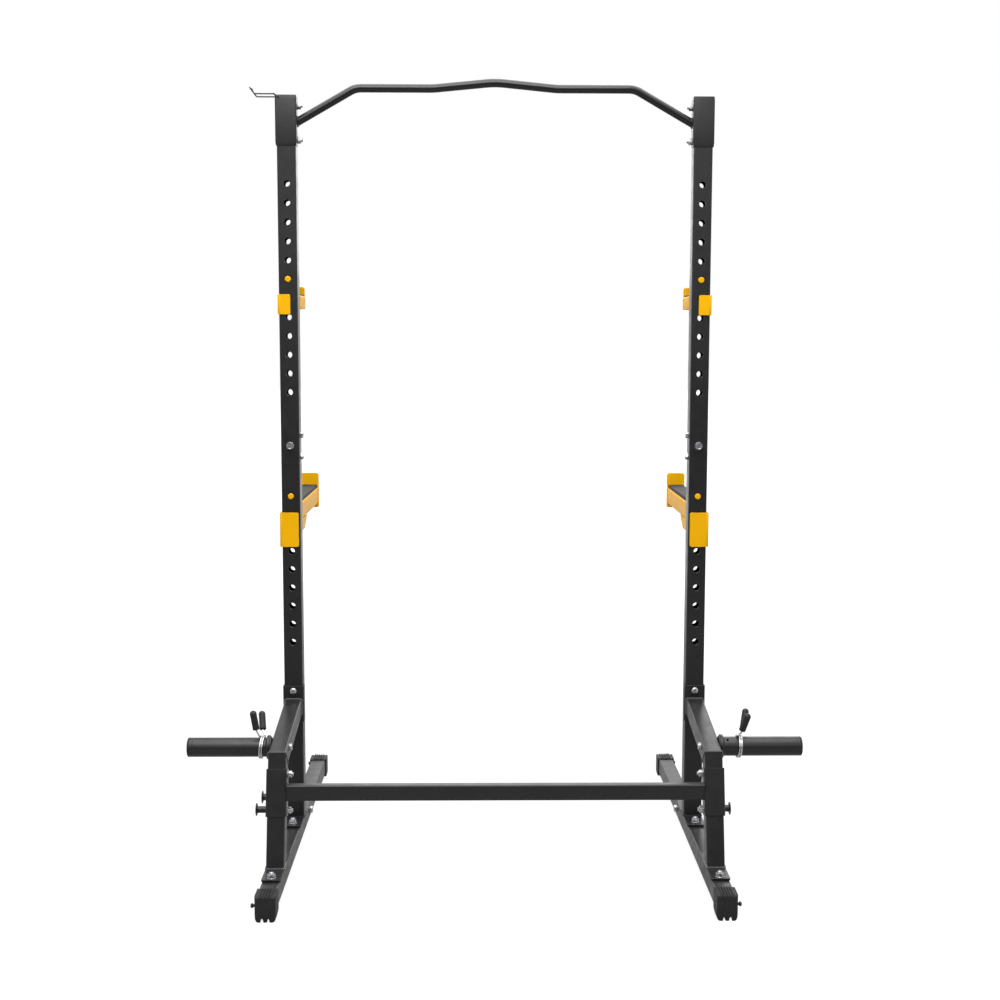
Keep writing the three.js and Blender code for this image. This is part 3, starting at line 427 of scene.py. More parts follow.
def arc(centre: Sequence[float], radius: float, start: float, end: float, steps: int) -> np.ndarray:
    """Points on a circle from one angle to another, in radians, ends included."""
    turn = np.linspace(start, end, steps + 1)
    return np.asarray(centre, float) + radius * np.stack([np.cos(turn), np.sin(turn)], axis=-1)


def fillet(before: np.ndarray, here: np.ndarray, after: np.ndarray,
           radius: float) -> tuple[np.ndarray, np.ndarray, np.ndarray, float]:
    """Fits a circle into a corner, so that it touches both of its legs.

    Its centre lies on the corner's bisector, at the radius over the sine of half the corner's angle.

    Args:
        before: the place before the corner.
        here: the corner.
        after: the place after it.
        radius: the circle's radius.

    Returns:
        The centre, the spokes to where the circle touches the two legs, and half the corner's angle.
    """
    back = before - here
    ahead = after - here
    back /= np.linalg.norm(back)
    ahead /= np.linalg.norm(ahead)
    half = math.acos(float(np.clip(back @ ahead, -1, 1))) / 2
    centre = here + (back + ahead) / np.linalg.norm(back + ahead) * radius / math.sin(half)
    leg = radius / math.tan(half)
    return centre, here + back * leg - centre, here + ahead * leg - centre, half


def rounded_outline(corners: Sequence[tuple[float, float, float]], steps: int = 6) -> np.ndarray:
    """A closed outline, each of its corners a circle's arc that touches both edges.

    Args:
        corners: x, y and corner radius of each corner in order.
        steps: segments in each rounded corner.

    Returns:
        Points round the outline, n by 2.
    """
    places = np.array([corner[:2] for corner in corners], float)
    rounded: list[np.ndarray] = []
    for index, (_, _, radius) in enumerate(corners):
        if radius <= 0:
            rounded.append(places[index][None])
            continue
        ahead = places[(index + 1) % len(corners)]
        centre, first, last, _ = fillet(places[index - 1], places[index], ahead, radius)
        begin = math.atan2(first[1], first[0])
        turn = math.atan2(first[0] * last[1] - first[1] * last[0], float(first @ last))
        rounded.append(arc(centre, radius, begin, begin + turn, steps))
    return np.concatenate(rounded)


def inset(outline: np.ndarray, by: float) -> np.ndarray:
    """The outline moved inwards: each point goes along the bisector of its two edges' inward normals.

    Args:
        outline: points round the outline, n by 2.
        by: how far each edge moves.

    Returns:
        The moved points.
    """
    edge = np.roll(outline, -1, axis=0) - outline
    edge /= np.linalg.norm(edge, axis=1, keepdims=True)
    normal = np.stack([-edge[:, 1], edge[:, 0]], axis=-1)
    area = np.sum(outline[:, 0] * np.roll(outline[:, 1], -1) - np.roll(outline[:, 0], -1) * outline[:, 1])
    normal *= np.sign(area)
    both = normal + np.roll(normal, 1, axis=0)
    reach = np.sum(both * both, axis=1, keepdims=True) / 2
    return outline + by * both / reach


@dataclass(frozen=True)
class Axes:
    """Three directions and an origin that turn flat outlines and profiles into places in the frame."""

    origin: tuple[float, float, float]
    across: tuple[float, float, float]
    up: tuple[float, float, float]
    along: tuple[float, float, float]

    def ring(self, outline: np.ndarray, place: float) -> np.ndarray:
        """An outline's points at one place along the axes."""
        return self.at(outline[:, 0], outline[:, 1], np.array(place))

    def round(self, radius: np.ndarray | float, turn: np.ndarray, place: np.ndarray | float) -> np.ndarray:
        """Points at a radius and a turn about the axes' along direction, at a place along it."""
        return self.at(radius * np.cos(turn), radius * np.sin(turn), np.asarray(place, float))

    def at(self, across: np.ndarray, up: np.ndarray, along: np.ndarray) -> np.ndarray:
        """Points from their three coordinates, which broadcast against each other.

        Args:
            across: first coordinates.
            up: second coordinates.
            along: third coordinates.

        Returns:
            The points, in the frame.
        """
        parts = np.broadcast_arrays(across, up, along)
        return (
            np.asarray(self.origin, float)
            + parts[0][..., None] * np.asarray(self.across, float)
            + parts[1][..., None] * np.asarray(self.up, float)
            + parts[2][..., None] * np.asarray(self.along, float)
        )


def axes_z(x: float, y: float, z: float) -> Axes:
    """Axes whose along is Z, at a place."""
    return Axes((x, y, z), (1, 0, 0), (0, 1, 0), (0, 0, 1))


def slab(shell: Shell, axes: Axes, outline: np.ndarray, start: float, end: float, edge: float = 0.5,
         slope: float = 1.0) -> Shell:
    """Adds an outline extruded along the axes, with both its edges chamfered.

    The wall has four rings: the outline inset by the edge at each end, and the outline itself further
    in by the edge times the slope.

    Args:
        shell: the shell to add to.
        axes: the outline's axes.
        outline: points round it, n by 2.
        start: its place along the axes at one end.
        end: its place at the other.
        edge: the chamfer's width on the outline.
        slope: the chamfer's length along the axes, as a multiple of its width.

    Returns:
        The shell.
    """
    small = inset(outline, edge)
    low, high = min(start, end), max(start, end)
    run = edge * slope
    rings = [(small, low), (outline, low + run), (outline, high - run), (small, high)]
    shell.grid(np.stack([axes.ring(ring, place) for ring, place in rings]), wrap=True)
    return shell.lid(axes.ring(small, low)).lid(axes.ring(small, high))


def lathe(shell: Shell, axes: Axes, profile: Sequence[tuple[float, float]], sides: int = 48) -> Shell:
    """Adds a profile of place and radius turned round the axes' along direction.

    Args:
        shell: the shell to add to.
        axes: the axes that it is turned about.
        profile: place along the axes and radius of each point.
        sides: points in each ring.

    Returns:
        The shell.
    """
    places = np.array(profile, float)
    turn = np.linspace(0, 2 * np.pi, sides, endpoint=False)[None]
    return shell.grid(axes.round(places[:, 1:], turn, places[:, :1]), wrap=True)


def sweep(shell: Shell, path: np.ndarray, radius: np.ndarray | float, sides: int, normal: Sequence[float],
          closed: bool = False) -> Shell:
    """Adds a round rod along a path.

    Each ring stands square to the path. Its first direction is square to the path and to the given
    normal, which the path never follows, and its second is square to both.

    Args:
        shell: the shell to add to.
        path: points in millimetres, n by 3.
        radius: the rod's radius, or one for each point.
        sides: points in each ring.
        normal: a direction that the path never follows.
        closed: whether the path's end joins its start.

    Returns:
        The shell.
    """
    if closed:
        tangent = np.roll(path, -1, axis=0) - np.roll(path, 1, axis=0)
    else:
        tangent = np.gradient(path, axis=0)
    tangent /= np.linalg.norm(tangent, axis=1, keepdims=True)
    first = np.cross(tangent, np.asarray(normal, float))
    first /= np.linalg.norm(first, axis=1, keepdims=True)
    second = np.cross(tangent, first)
    turn = np.linspace(0, 2 * np.pi, sides, endpoint=False)
    width = np.broadcast_to(np.asarray(radius, float), (len(path),))[:, None, None]
    spokes = first[:, None] * np.cos(turn)[None, :, None] + second[:, None] * np.sin(turn)[None, :, None]
    points = path[:, None] + width * spokes
    if closed:
        return shell.grid(np.concatenate([points, points[:1]]), wrap=True)
    shell.grid(points, wrap=True)
    shell.lid(points[0])
    return shell.lid(points[-1])


def bent_path(corners: Sequence[tuple[Sequence[float], float]], step: float = 4.0) -> np.ndarray:
    """A path through corners, each bend a circle's arc that touches both of its legs.

    A point of an arc is the sum of the arc's first and last spokes, weighted by the sines of the angles
    that are left and done, over the sine of the whole turn.

    Args:
        corners: each corner's place and bend radius; the first and last are the path's ends.
        step: degrees of turn between points.

    Returns:
        The path's points, n by 3.
    """
    places = [np.asarray(place, float) for place, _ in corners]
    parts = [places[0][None]]
    for index in range(1, len(corners) - 1):
        centre, first, last, half = fillet(*places[index - 1:index + 2], corners[index][1])
        turn = math.pi - 2 * half
        done = np.linspace(0, turn, max(3, math.ceil(math.degrees(turn) / step)) + 1)[:, None]
        parts.append(centre + (first * np.sin(turn - done) + last * np.sin(done)) / math.sin(turn))
    parts.append(places[-1][None])
    return np.concatenate(parts)


def along_evenly(path: np.ndarray, pace: float) -> np.ndarray:
    """The path's points taken again at equal steps of about pace millimetres.

    Args:
        path: points, n by 3.
        pace: about how far apart the new ones are.

    Returns:
        The new points.
    """
    run = np.concatenate([[0], np.cumsum(np.linalg.norm(np.diff(path, axis=0), axis=1))])
    marks = np.linspace(0, run[-1], max(2, round(run[-1] / pace)) + 1)
    return np.stack([np.interp(marks, run, path[:, axis]) for axis in range(3)], axis=-1)


# Square tubes


@dataclass(frozen=True)
class Section:
    """The section of a rectangular tube with rounded corners."""

    width: float
    depth: float
    wall: float
    corner: float
    steps: int = 5

    def ring(self, inner: bool) -> np.ndarray:
        """Points round the outer or inner outline, both with the same count.

        Args:
            inner: whether it is the inner one.

        Returns:
            Points round the outline.
        """
        sink = self.wall if inner else 0.0
        half_width = self.width / 2 - sink
        half_depth = self.depth / 2 - sink
        corner = max(self.corner - sink, 0.2)
        return rounded_outline(
            [
                (half_width, -half_depth, corner),
                (half_width, half_depth, corner),
                (-half_width, half_depth, corner),
                (-half_width, -half_depth, corner),
            ],
            self.steps,
        )


Plane = tuple[Sequence[float], Sequence[float]]


class Axis(Enum):
    """The frame's axes."""

    X = 0
    Y = 1
    Z = 2

    def plane(self, place: float) -> Plane:
        """The plane square to the axis at a place along it."""
        normal = np.eye(3)[self.value]
        return normal * place, normal


def plane_ring(outline: np.ndarray, axes: Axes, plane: Plane) -> np.ndarray:
    """The points where lines along the axes through an outline meet a plane.

    A line meets the plane where its place, seen along the plane's normal, equals the plane's own.

    Args:
        outline: points round it, n by 2.
        axes: the outline's axes.
        plane: a point of the plane, and its normal.

    Returns:
        The points, in the frame.
    """
    point, normal = plane
    foot = axes.ring(outline, 0.0)
    facing = np.asarray(normal, float)
    reach = ((np.asarray(point, float) - foot) @ facing) / (np.asarray(axes.along, float) @ facing)
    return foot + reach[:, None] * np.asarray(axes.along, float)


def cut_tube(shell: Shell, section: Section, axes: Axes, start: Plane, end: Plane) -> Shell:
    """Adds a straight tube cut by two planes: its outer outline at each, and its inner one back again.

    Args:
        shell: the shell to add to.
        section: the tube's section.
        axes: its axes.
        start: the plane at one end.
        end: the plane at the other.

    Returns:
        The shell.
    """
    cuts = ((False, start), (False, end), (True, end), (True, start), (False, start))
    rings = [plane_ring(section.ring(inner), axes, plane) for inner, plane in cuts]
    return shell.grid(np.stack(rings), wrap=True)


def cell_ring(half_width: float, half_height: float, divisions: int) -> tuple[np.ndarray, np.ndarray]:
    """Points round a rectangle, and the directions from its middle to the same points of a square.

    Args:
        half_width: half the rectangle's width.
        half_height: half its height.
        divisions: points along each of its sides.

    Returns:
        The points, and the directions, each n by 2.
    """
    share = np.linspace(-1, 1, divisions, endpoint=False)
    one = np.ones_like(share)
    square = np.concatenate([
        np.stack(side, axis=-1) for side in ((one, share), (-share, one), (-one, -share), (share, -one))
    ])
    turn = np.arctan2(square[:, 1], square[:, 0])
    return square * (half_width, half_height), np.stack([np.cos(turn), np.sin(turn)], axis=-1)


@dataclass
class PiercedTube:
    """A square upright tube with a row of round holes through its front and rear walls."""

    section: Section
    hole_width: float
    cell_height: float = 27.0
    divisions: int = 8
    rim: float = 0.6
    collar: float = 2.5

    def build(self, shell: Shell, x: float, bottom: float, top: float, holes: Sequence[float]) -> Shell:
        """Adds the tube, standing at x.

        Each hole sits in a rectangular cell, whose surface is a grid between the hole's rim and the
        cell's edge. Plain bands fill the wall between cells, and the rest of the tube has its rows at
        the cells' own heights, so that everything meets point to point.

        Args:
            shell: the shell to add to.
            x: the tube's middle.
            bottom: the tube's lower end.
            top: its upper end.
            holes: heights of the holes.

        Returns:
            The shell.
        """
        half_cell = self.cell_height / 2
        share = np.linspace(-1, 1, self.divisions + 1)
        heights = np.unique(np.round(np.concatenate(
            [[bottom, top]] + [hole + half_cell * share for hole in holes]), 4))
        cuts = [bottom] + [edge for hole in holes for edge in (hole - half_cell, hole + half_cell)] + [top]
        flat = self.section.width / 2 - self.section.corner
        columns = flat * share
        border, spokes = cell_ring(flat, half_cell, self.divisions)
        radius = self.hole_width / 2
        for inner in (False, True):
            face = self.section.width / 2 - (self.section.wall if inner else 0)
            bore = radius if inner else radius + self.rim
            for sign in (-1, 1):
                for low, high in zip(cuts[::2], cuts[1::2]):
                    rows = np.array([low, high])[:, None]
                    shell.grid(self._points(x + columns[None], sign * face, rows))
                rings = np.stack([spokes * bore, spokes * (bore + self.collar), border])
                for hole in holes:
                    height = hole + rings[..., 1]
                    shell.grid(self._points(x + rings[..., 0], sign * face, height), wrap=True)
            self._sides(shell, x, heights, inner, flat)
        for sign in (-1, 1):
            outer = sign * self.section.width / 2
            inside = outer - sign * self.section.wall
            depth = np.array([outer, outer - sign * self.rim, inside])[:, None]
            width = np.array([radius + self.rim, radius, radius])[:, None]
            for hole in holes:
                across = x + width * spokes[:, 0]
                shell.grid(self._points(across, depth, hole + width * spokes[:, 1]), wrap=True)
        return self._ends(shell, x, bottom, top, columns)

    def _points(self, across: np.ndarray, depth: np.ndarray | float, height: np.ndarray) -> np.ndarray:
        """Points from x, y and z that broadcast against each other."""
        return np.stack(np.broadcast_arrays(across, depth, height), axis=-1)

    def _corner_strip(self, inner: bool) -> np.ndarray:
        """The outline from the rear wall's edge round the +x side to the front wall's edge.

        Args:
            inner: whether it is the wall's inner face.

        Returns:
            The outline's points, n by 2.
        """
        half = self.section.width / 2 - (self.section.wall if inner else 0)
        corner = self.section.corner - (self.section.wall if inner else 0)
        steps = self.section.steps
        rear = arc((half - corner, corner - half), corner, -math.pi / 2, 0, steps)
        front = arc((half - corner, half - corner), corner, 0, math.pi / 2, steps)
        return np.concatenate([rear, front])

    def _sides(self, shell: Shell, x: float, heights: np.ndarray, inner: bool, flat: float) -> None:
        """Adds the two side walls with their rounded corners.

        Args:
            shell: the shell to add to.
            x: the tube's middle.
            heights: the heights of its rows.
            inner: whether they are the wall's inner faces.
            flat: half the width between the rounded corners.
        """
        strip = self._corner_strip(inner)
        strip[0, 0] = flat
        strip[-1, 0] = flat
        for sign in (-1, 1):
            shell.grid(self._points(x + sign * strip[None, :, 0], strip[None, :, 1], heights[:, None]))

    def _ends(self, shell: Shell, x: float, bottom: float, top: float, columns: np.ndarray) -> Shell:
        """Closes the wall's thickness at both ends.

        Args:
            shell: the shell to add to.
            x: the tube's middle.
            bottom: its lower end.
            top: its upper end.
            columns: the places of its columns between the rounded corners.

        Returns:
            The shell.
        """
        rings = []
        for inner in (False, True):
            half = self.section.width / 2 - (self.section.wall if inner else 0)
            strip = self._corner_strip(inner)
            rear = np.stack([columns, np.full_like(columns, -half)], axis=-1)
            front = np.stack([columns[::-1], np.full_like(columns, half)], axis=-1)
            far = strip[::-1] * (-1, 1)
            rings.append(np.concatenate([rear, strip[1:-1], front, far[1:-1]]))
        outline = np.stack(rings)
        for height in (bottom, top):
            shell.grid(self._points(x + outline[..., 0], outline[..., 1], np.array(height)), wrap=True)
        return shell


# The length of one ripple of a weld bead.
RIPPLE = 2.8


def weld_loop(shell: Shell, loop: np.ndarray, normal: Sequence[float], radius: float) -> Shell:
    """Adds a weld bead round a closed loop: its radius swells once for each ripple along it.

    Args:
        shell: the shell to add to.
        loop: points round the loop, n by 3.
        normal: a direction that the loop never follows.
        radius: the bead's radius.

    Returns:
        The shell.
    """
    even = along_evenly(np.concatenate([loop, loop[:1]]), RIPPLE / 4)[:-1]
    swell = radius * (0.86 + 0.2 * np.abs(np.sin(np.arange(len(even)) * math.pi / 4)))
    return sweep(shell, even, swell, 8, normal, closed=True)


def weld_round(shell: Shell, section: Section, axes: Axes, plane: Plane, radius: float) -> Shell:
    """Adds a weld bead round a square tube, where a plane cuts its outer faces."""
    return weld_loop(shell, plane_ring(section.ring(False), axes, plane), plane[1], radius)


def bead(side: Side, name: str, axes: Axes, plane: Plane, radius: float) -> None:
    """Makes a weld bead round one of the rear leg's tubes a piece of its own, in the bead coat, whose lighter
    colour is a painted highlight.
    """
    weld_round(Shell(), LEG, axes, plane, radius).piece(f"{name}_{side.word}", PAINTED_HIGHLIGHT_BEAD_COAT)


# Fasteners


# The angles of a bolt's rings.
AROUND = np.linspace(0, 2 * np.pi, 36, endpoint=False)


def hexagon(flats: float, turn: float = 0.0) -> np.ndarray:
    """A hexagon's radius at each angle of AROUND: half its flats over the cosine of the turn off a flat."""
    return flats / 2 / np.cos((AROUND - turn) % (np.pi / 3) - np.pi / 6)


def ringed(shell: Shell, axes: Axes, rings: Sequence[tuple[np.ndarray | float, float]]) -> Shell:
    """Adds rings round the axes; each has its radius, or one for each angle of AROUND, and its place."""
    return shell.grid(np.stack([axes.round(radius, AROUND, place) for radius, place in rings]), wrap=True)


@dataclass(frozen=True)
class HexBolt:
    """A hexagon head on a washer, with a chamfered crown."""

    flats: float = 17.0
    height: float = 6.5
    washer: float = 21.0
    washer_height: float = 1.5

    def head(self, shell: Shell, axes: Axes, turn: float = 0.0) -> Shell:
        """Adds the head and its washer, rising along the axes from their origin.

        The head is a hexagon whose crown is cut by a cone: the rings are the hexagon, and the hexagon
        drawn in to its own flats.

        Args:
            shell: the shell to add to.
            axes: the axes that it rises along.
            turn: how far the hexagon is turned, in radians.

        Returns:
            The shell.
        """
        half = self.washer / 2
        lathe(shell, axes, [(-0.2, 0), (-0.2, half - 0.2), (self.washer_height - 0.3, half),
                            (self.washer_height, half - 0.3), (self.washer_height, 0)], 40)
        wide = hexagon(self.flats, turn)
        crown = np.minimum(wide, self.flats / 2)
        low = self.washer_height
        high = low + self.height
        ringed(shell, axes, [(wide, low), (wide, high - 1.2), (crown, high), (crown * 0.8, high),
                             (crown * 0.74, high - 0.35), (crown * 0, high - 0.35)])
        return shell.lid(axes.round(wide, AROUND, low))


@dataclass(frozen=True)
class Nut:
    """A hexagon nut on a washer, with the stud's end standing out of it."""

    flats: float = 16.0
    height: float = 8.0
    stud: float = 10.0
    stud_height: float = 14.0
    washer: float = 20.0
    washer_height: float = 1.6

    def build(self, shell: Shell, axes: Axes, turn: float = 0.0) -> Shell:
        """Adds the washer, nut and stud end, rising along the axes from their origin.

        Args:
            shell: the shell to add to.
            axes: the axes that it rises along.
            turn: how far the hexagon is turned, in radians.

        Returns:
            The shell.
        """
        HexBolt(self.flats, self.height, self.washer, self.washer_height).head(shell, axes, turn)
        radius = self.stud / 2
        rings = np.linspace(self.height, self.stud_height - 1, 9)
        thread = [(place, radius - 0.25 * (index % 2)) for index, place in enumerate(rings)]
        return lathe(shell, axes, [(self.height, 0), *thread, (self.stud_height, radius - 1),
                                   (self.stud_height, 0)], 24)


FOOT_NUT = Nut(flats=18.0, height=9.0, stud=11.0, stud_height=15.5, washer=23.0)
PEG_BOLT = HexBolt(flats=17.0, height=5.0, washer=22.0, washer_height=1.4)


@dataclass(frozen=True)
class ButtonBolt:
    """A domed head with a hexagon socket."""

    width: float = 17.0
    height: float = 6.0
    socket: float = 6.0

    def head(self, shell: Shell, axes: Axes) -> Shell:
        """Adds the head, rising along the axes from their origin.

        The dome is a quarter ellipse from the head's edge to the socket's rim, and the socket's rings
        are hexagons.

        Args:
            shell: the shell to add to.
            axes: the axes that it rises along.

        Returns:
            The shell.
        """
        radius = self.width / 2
        rim = self.socket * 0.62
        socket = hexagon(self.socket)
        rings: list[tuple[np.ndarray | float, float]] = [(0.0, 0.0), (radius, 0.0), (radius, 1.0)]
        for turn in np.linspace(0.15, 1, 7) * math.pi / 2:
            rings.append((rim + (radius - rim) * math.cos(turn), 1.0 + (self.height - 1.0) * math.sin(turn)))
        rings += [(socket, self.height), (socket, self.height - 3), (socket * 0, self.height - 3.6)]
        return ringed(shell, axes, rings)


# Uprights and pull-up bar


UPRIGHT_X = 550.0


@dataclass
class Upright:
    """An upright of two square tubes, one on the other, on a foot plate and closed by a plug."""

    side: Side
    section: Section = Section(50.0, 50.0, 2.5, 4.0)
    hole_width: float = 17.4
    hole_pitch: float = 50.0
    lower_start: float = 557.0
    lower_count: int = 9
    upper_start: float = 1237.0
    upper_count: int = 12
    plate_thickness: float = 6.0
    plate_corner: float = 4.0
    seam: float = 1040.0
    fit: float = 0.3

    def build(self) -> None:
        """Builds the two tubes, the foot plate with its weld, and the plug."""
        x = self.side.value * UPRIGHT_X
        tube = PiercedTube(self.section, self.hole_width)
        low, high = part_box(f"lower_upright_{self.side.word}")
        plate_bottom = low.z / MM
        plate_top = plate_bottom + self.plate_thickness
        holes = self._holes(self.lower_start, self.lower_count)
        lower = tube.build(Shell(), x, plate_top, self.seam, holes)
        plate = rectangle(low.x / MM - x, high.x / MM - x, low.y / MM, high.y / MM,
                          (self.plate_corner,) * 4)
        line = axes_z(x, 0, 0)
        slab(lower, line, plate, plate_bottom, plate_top, 0.6)
        weld_round(lower, self.section, line, Axis.Z.plane(plate_top + 0.6), 2.4)
        show(lower, "lower_upright", self.side)
        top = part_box(f"upper_upright_{self.side.word}")[1].z / MM
        holes = self._holes(self.upper_start, self.upper_count)
        show(tube.build(Shell(), x, self.seam + self.fit, top, holes), "upper_upright", self.side)
        self._plug(x)

    def _holes(self, start: float, count: int) -> list[float]:
        """Heights of a row of holes."""
        return [start + self.hole_pitch * step for step in range(count)]

    def _plug(self, x: float) -> None:
        """Builds the plug: a lid with a rounded edge on a square skirt.

        Args:
            x: the upright's middle.
        """
        low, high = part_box(f"top_plug_{self.side.word}")
        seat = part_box(f"upper_upright_{self.side.word}")[1].z / MM + self.fit
        line = axes_z(x, 0, 0)
        shell = slab(Shell(), line, self.section.ring(False), seat, high.z / MM, 1.1)
        width = self.section.width - 2 * self.section.wall - 2 * self.fit
        skirt = Section(width, width, 2, 1.4)
        cut_tube(shell, skirt, line, Axis.Z.plane(low.z / MM), Axis.Z.plane(seat + 0.5))
        show(shell, "top_plug", self.side, BLACK_PLASTIC)


@dataclass
class PullUpBar:
    """The bent bar between the uprights' heads, welded to the brackets' inner flanges."""

    width: float = 22.4
    bend_at: float = 369.0
    level: float = 2036.5
    end_height: float = 1949.5
    shoulder_at: float = 163.0
    crown: float = 16.0
    radii: tuple[float, float, float] = (60.0, 220.0, 260.0)
    sides: int = 40

    def build(self) -> None:
        """Builds the bar along its bends, with a weld bead at each end."""
        low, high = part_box("pull_up_bar")
        end = high.x / MM
        fall = (self.level - self.end_height) / (end - self.bend_at)
        half = [
            ((end, 0, self.level - fall * (end - self.bend_at)), 0.0),
            ((self.bend_at, 0, self.level), self.radii[0]),
            ((self.shoulder_at, 0, self.level), self.radii[1]),
        ]
        far = [((-x, y, z), radius) for (x, y, z), radius in reversed(half)]
        path = bent_path([*half, ((0, 0, self.level + self.crown), self.radii[2]), *far], 1.5)
        shell = Shell()
        self._rod(shell, path)
        slope = math.hypot(1, fall)
        turn = np.linspace(0, 2 * np.pi, 60, endpoint=False)
        for sign in (-1, 1):
            ring = np.stack([
                np.full_like(turn, sign * (end - 0.8)),
                self.width / 2 * np.cos(turn),
                self.end_height + self.width / 2 * slope * np.sin(turn),
            ], axis=-1)
            weld_loop(shell, ring, (1, 0, 0), 1.7)
        show(shell, "pull_up_bar", finish=BAR_COAT, sharp=40)

    def _rod(self, shell: Shell, path: np.ndarray) -> None:
        """Adds the rod, with its two end rings moved along it onto the upright planes at its ends.

        Args:
            shell: the shell to add to.
            path: the bar's centre line, n by 3.
        """
        tangent = np.gradient(path, axis=0)
        tangent /= np.linalg.norm(tangent, axis=1, keepdims=True)
        rise = np.cross(tangent, (0, 1, 0))
        turn = np.linspace(0, 2 * np.pi, self.sides, endpoint=False)
        turn = turn[None, :, None]
        spokes = rise[:, None] * np.cos(turn) + np.array((0, 1, 0)) * np.sin(turn)
        points = path[:, None] + self.width / 2 * spokes
        for row in (0, -1):
            shift = (path[row, 0] - points[row, :, 0]) / tangent[row, 0]
            points[row] += shift[:, None] * tangent[row]
        shell.grid(points, wrap=True)
        shell.lid(points[0])
        shell.lid(points[-1])


# Places on either side of the rack


LEG = Section(45.0, 45.0, 2.5, 4.0)
POST_LEAN = math.radians(13.6)
BRACE_RISE = math.radians(9.4)
MITRE_Y = -360.0
MITRE_Z = 345.5
PLATE_TOP = 66.0
BRACKET_WALL = 3.0
UPRIGHT_GRASP = 50.6
POST_GRASP = 45.6
BRACKET_FACE = -UPRIGHT_GRASP / 2 - BRACKET_WALL


def outward(side: Side, x: float) -> float:
    """The frame's x of a place that is counted outward from the upright's middle."""
    return side.value * (UPRIGHT_X + x)


def out_x(side: Side, x: float = 0.0, y: float = 0.0, z: float = 0.0, facing: int = 1) -> Axes:
    """Axes along the outward direction, or inward where facing is -1; x is counted from the upright."""
    return Axes((outward(side, x), y, z), (0, 1, 0), (0, 0, 1), (side.value * facing, 0, 0))


def out_y(side: Side, x: float = 0.0, y: float = 0.0, z: float = 0.0, facing: int = 1) -> Axes:
    """Axes along Y, or -Y where facing is -1, with x counted outward from the upright."""
    return Axes((outward(side, x), y, z), (side.value, 0, 0), (0, 0, 1), (0, facing, 0))


def out_z(side: Side, x: float = 0.0, y: float = 0.0, z: float = 0.0) -> Axes:
    """Axes along Z, with x counted outward from the upright."""
    return Axes((outward(side, x), y, z), (side.value, 0, 0), (0, 1, 0), (0, 0, 1))


def leaning(side: Side, from_up: float, shift: float, y: float = MITRE_Y, z: float = MITRE_Z) -> Axes:
    """Axes along a leg that leans forward from upright by an angle, through a place.

    Args:
        side: the rack's side.
        from_up: the angle between the leg and straight up, in radians.
        shift: how far the origin is moved square to the leg, downward and forward.
        y: the place's y.
        z: the place's z.

    Returns:
        The axes, with across pointing outward and along pointing up the leg.
    """
    square = np.array((0, math.cos(from_up), -math.sin(from_up)))
    origin = np.array((side.value * UPRIGHT_X, y, z)) + shift * square
    along = (0, math.sin(from_up), math.cos(from_up))
    return Axes(tuple(origin), (side.value, 0, 0), tuple(square), along)


def channel_outline(inside: float, wall: float, legs: float, bend: float = 4.0,
                    tip: float = 0.7) -> np.ndarray:
    """The outline of a folded channel whose web lies on the first axis, its legs reaching up.

    Args:
        inside: the width between its legs.
        wall: its thickness.
        legs: how far its legs reach from the web's outer face.
        bend: the outer radius of its folds.
        tip: the radius of its legs' corners.

    Returns:
        Points round the outline, n by 2.
    """
    outer = inside / 2 + wall
    inner = outer - wall
    fold = max(bend - wall, 0.4)
    return rounded_outline([
        (-outer, 0, bend), (outer, 0, bend), (outer, legs, tip), (inner, legs, tip),
        (inner, wall, fold), (-inner, wall, fold), (-inner, legs, tip), (-outer, legs, tip),
    ])


def rectangle(left: float, right: float, low: float, high: float, radii: Sequence[float]) -> np.ndarray:
    """A rectangle's outline; its corner radii go round from the one at left and low."""
    corners = ((left, low), (right, low), (right, high), (left, high))
    return rounded_outline([(*corner, radius) for corner, radius in zip(corners, radii)])


# Base


@dataclass
class BaseRail:
    """A base rail with its two end caps and two band pegs."""

    side: Side
    middle: float = 37.5
    reach: float = 592.0
    peg_places: tuple[float, float] = (128.0, 243.0)
    peg_stem: float = 9.75
    peg_flange: float = 18.5
    peg_root: float = 22.8
    peg_end: float = 131.3

    def build(self) -> None:
        """Builds the rail, the caps, and the pegs with their bolts."""
        shell = Shell()
        line = Axes((self.side.value * UPRIGHT_X, 0, self.middle), (1, 0, 0), (0, 0, 1), (0, 1, 0))
        cut_tube(shell, LEG, line, Axis.Y.plane(-self.reach), Axis.Y.plane(self.reach))
        show(shell, "base_rail", self.side)
        for word, place in zip(("inner", "outer"), self.peg_places):
            self._band_peg(word, place)
        for word, sign in (("front", 1), ("rear", -1)):
            EndCap(self.side).build(word, sign)

    def _band_peg(self, word: str, place: float) -> None:
        """Builds one band peg, whose stem flares into its flange, and its bolt through the rail.

        Args:
            word: which of the two it is.
            place: its place along the rail.
        """
        root, end, stem, flange = self.peg_root, self.peg_end, self.peg_stem, self.peg_flange
        flare = arc((end - 7.5, stem + 5), 5, -math.pi / 2, 0, 6)
        profile = [(root, 0), (root, stem + 1.4), (root + 0.7, stem + 1.2), (root + 1.6, stem), *flare,
                   (end - 2.6, flange - 1), (end - 1.8, flange), (end - 1.0, flange), (end, flange - 1.2),
                   (end, 0)]
        lathed = lathe(Shell(), out_x(self.side, 0, place, self.middle), profile, 48)
        show(lathed, f"band_peg_{word}", self.side)
        bolt = HexBolt().head(Shell(), out_x(self.side, -LEG.width / 2, place, self.middle, -1), 0.3)
        bolt.piece(f"band_peg_bolt_{word}_{self.side.word}", ZINC)


# A rib's section from one foot over its top to the other: the share of its width, and the rise.
RIB = ((0.6, -0.8), (0.42, 1.4), (0.2, 2.6), (-0.2, 2.6), (-0.42, 1.4), (-0.6, -0.8))


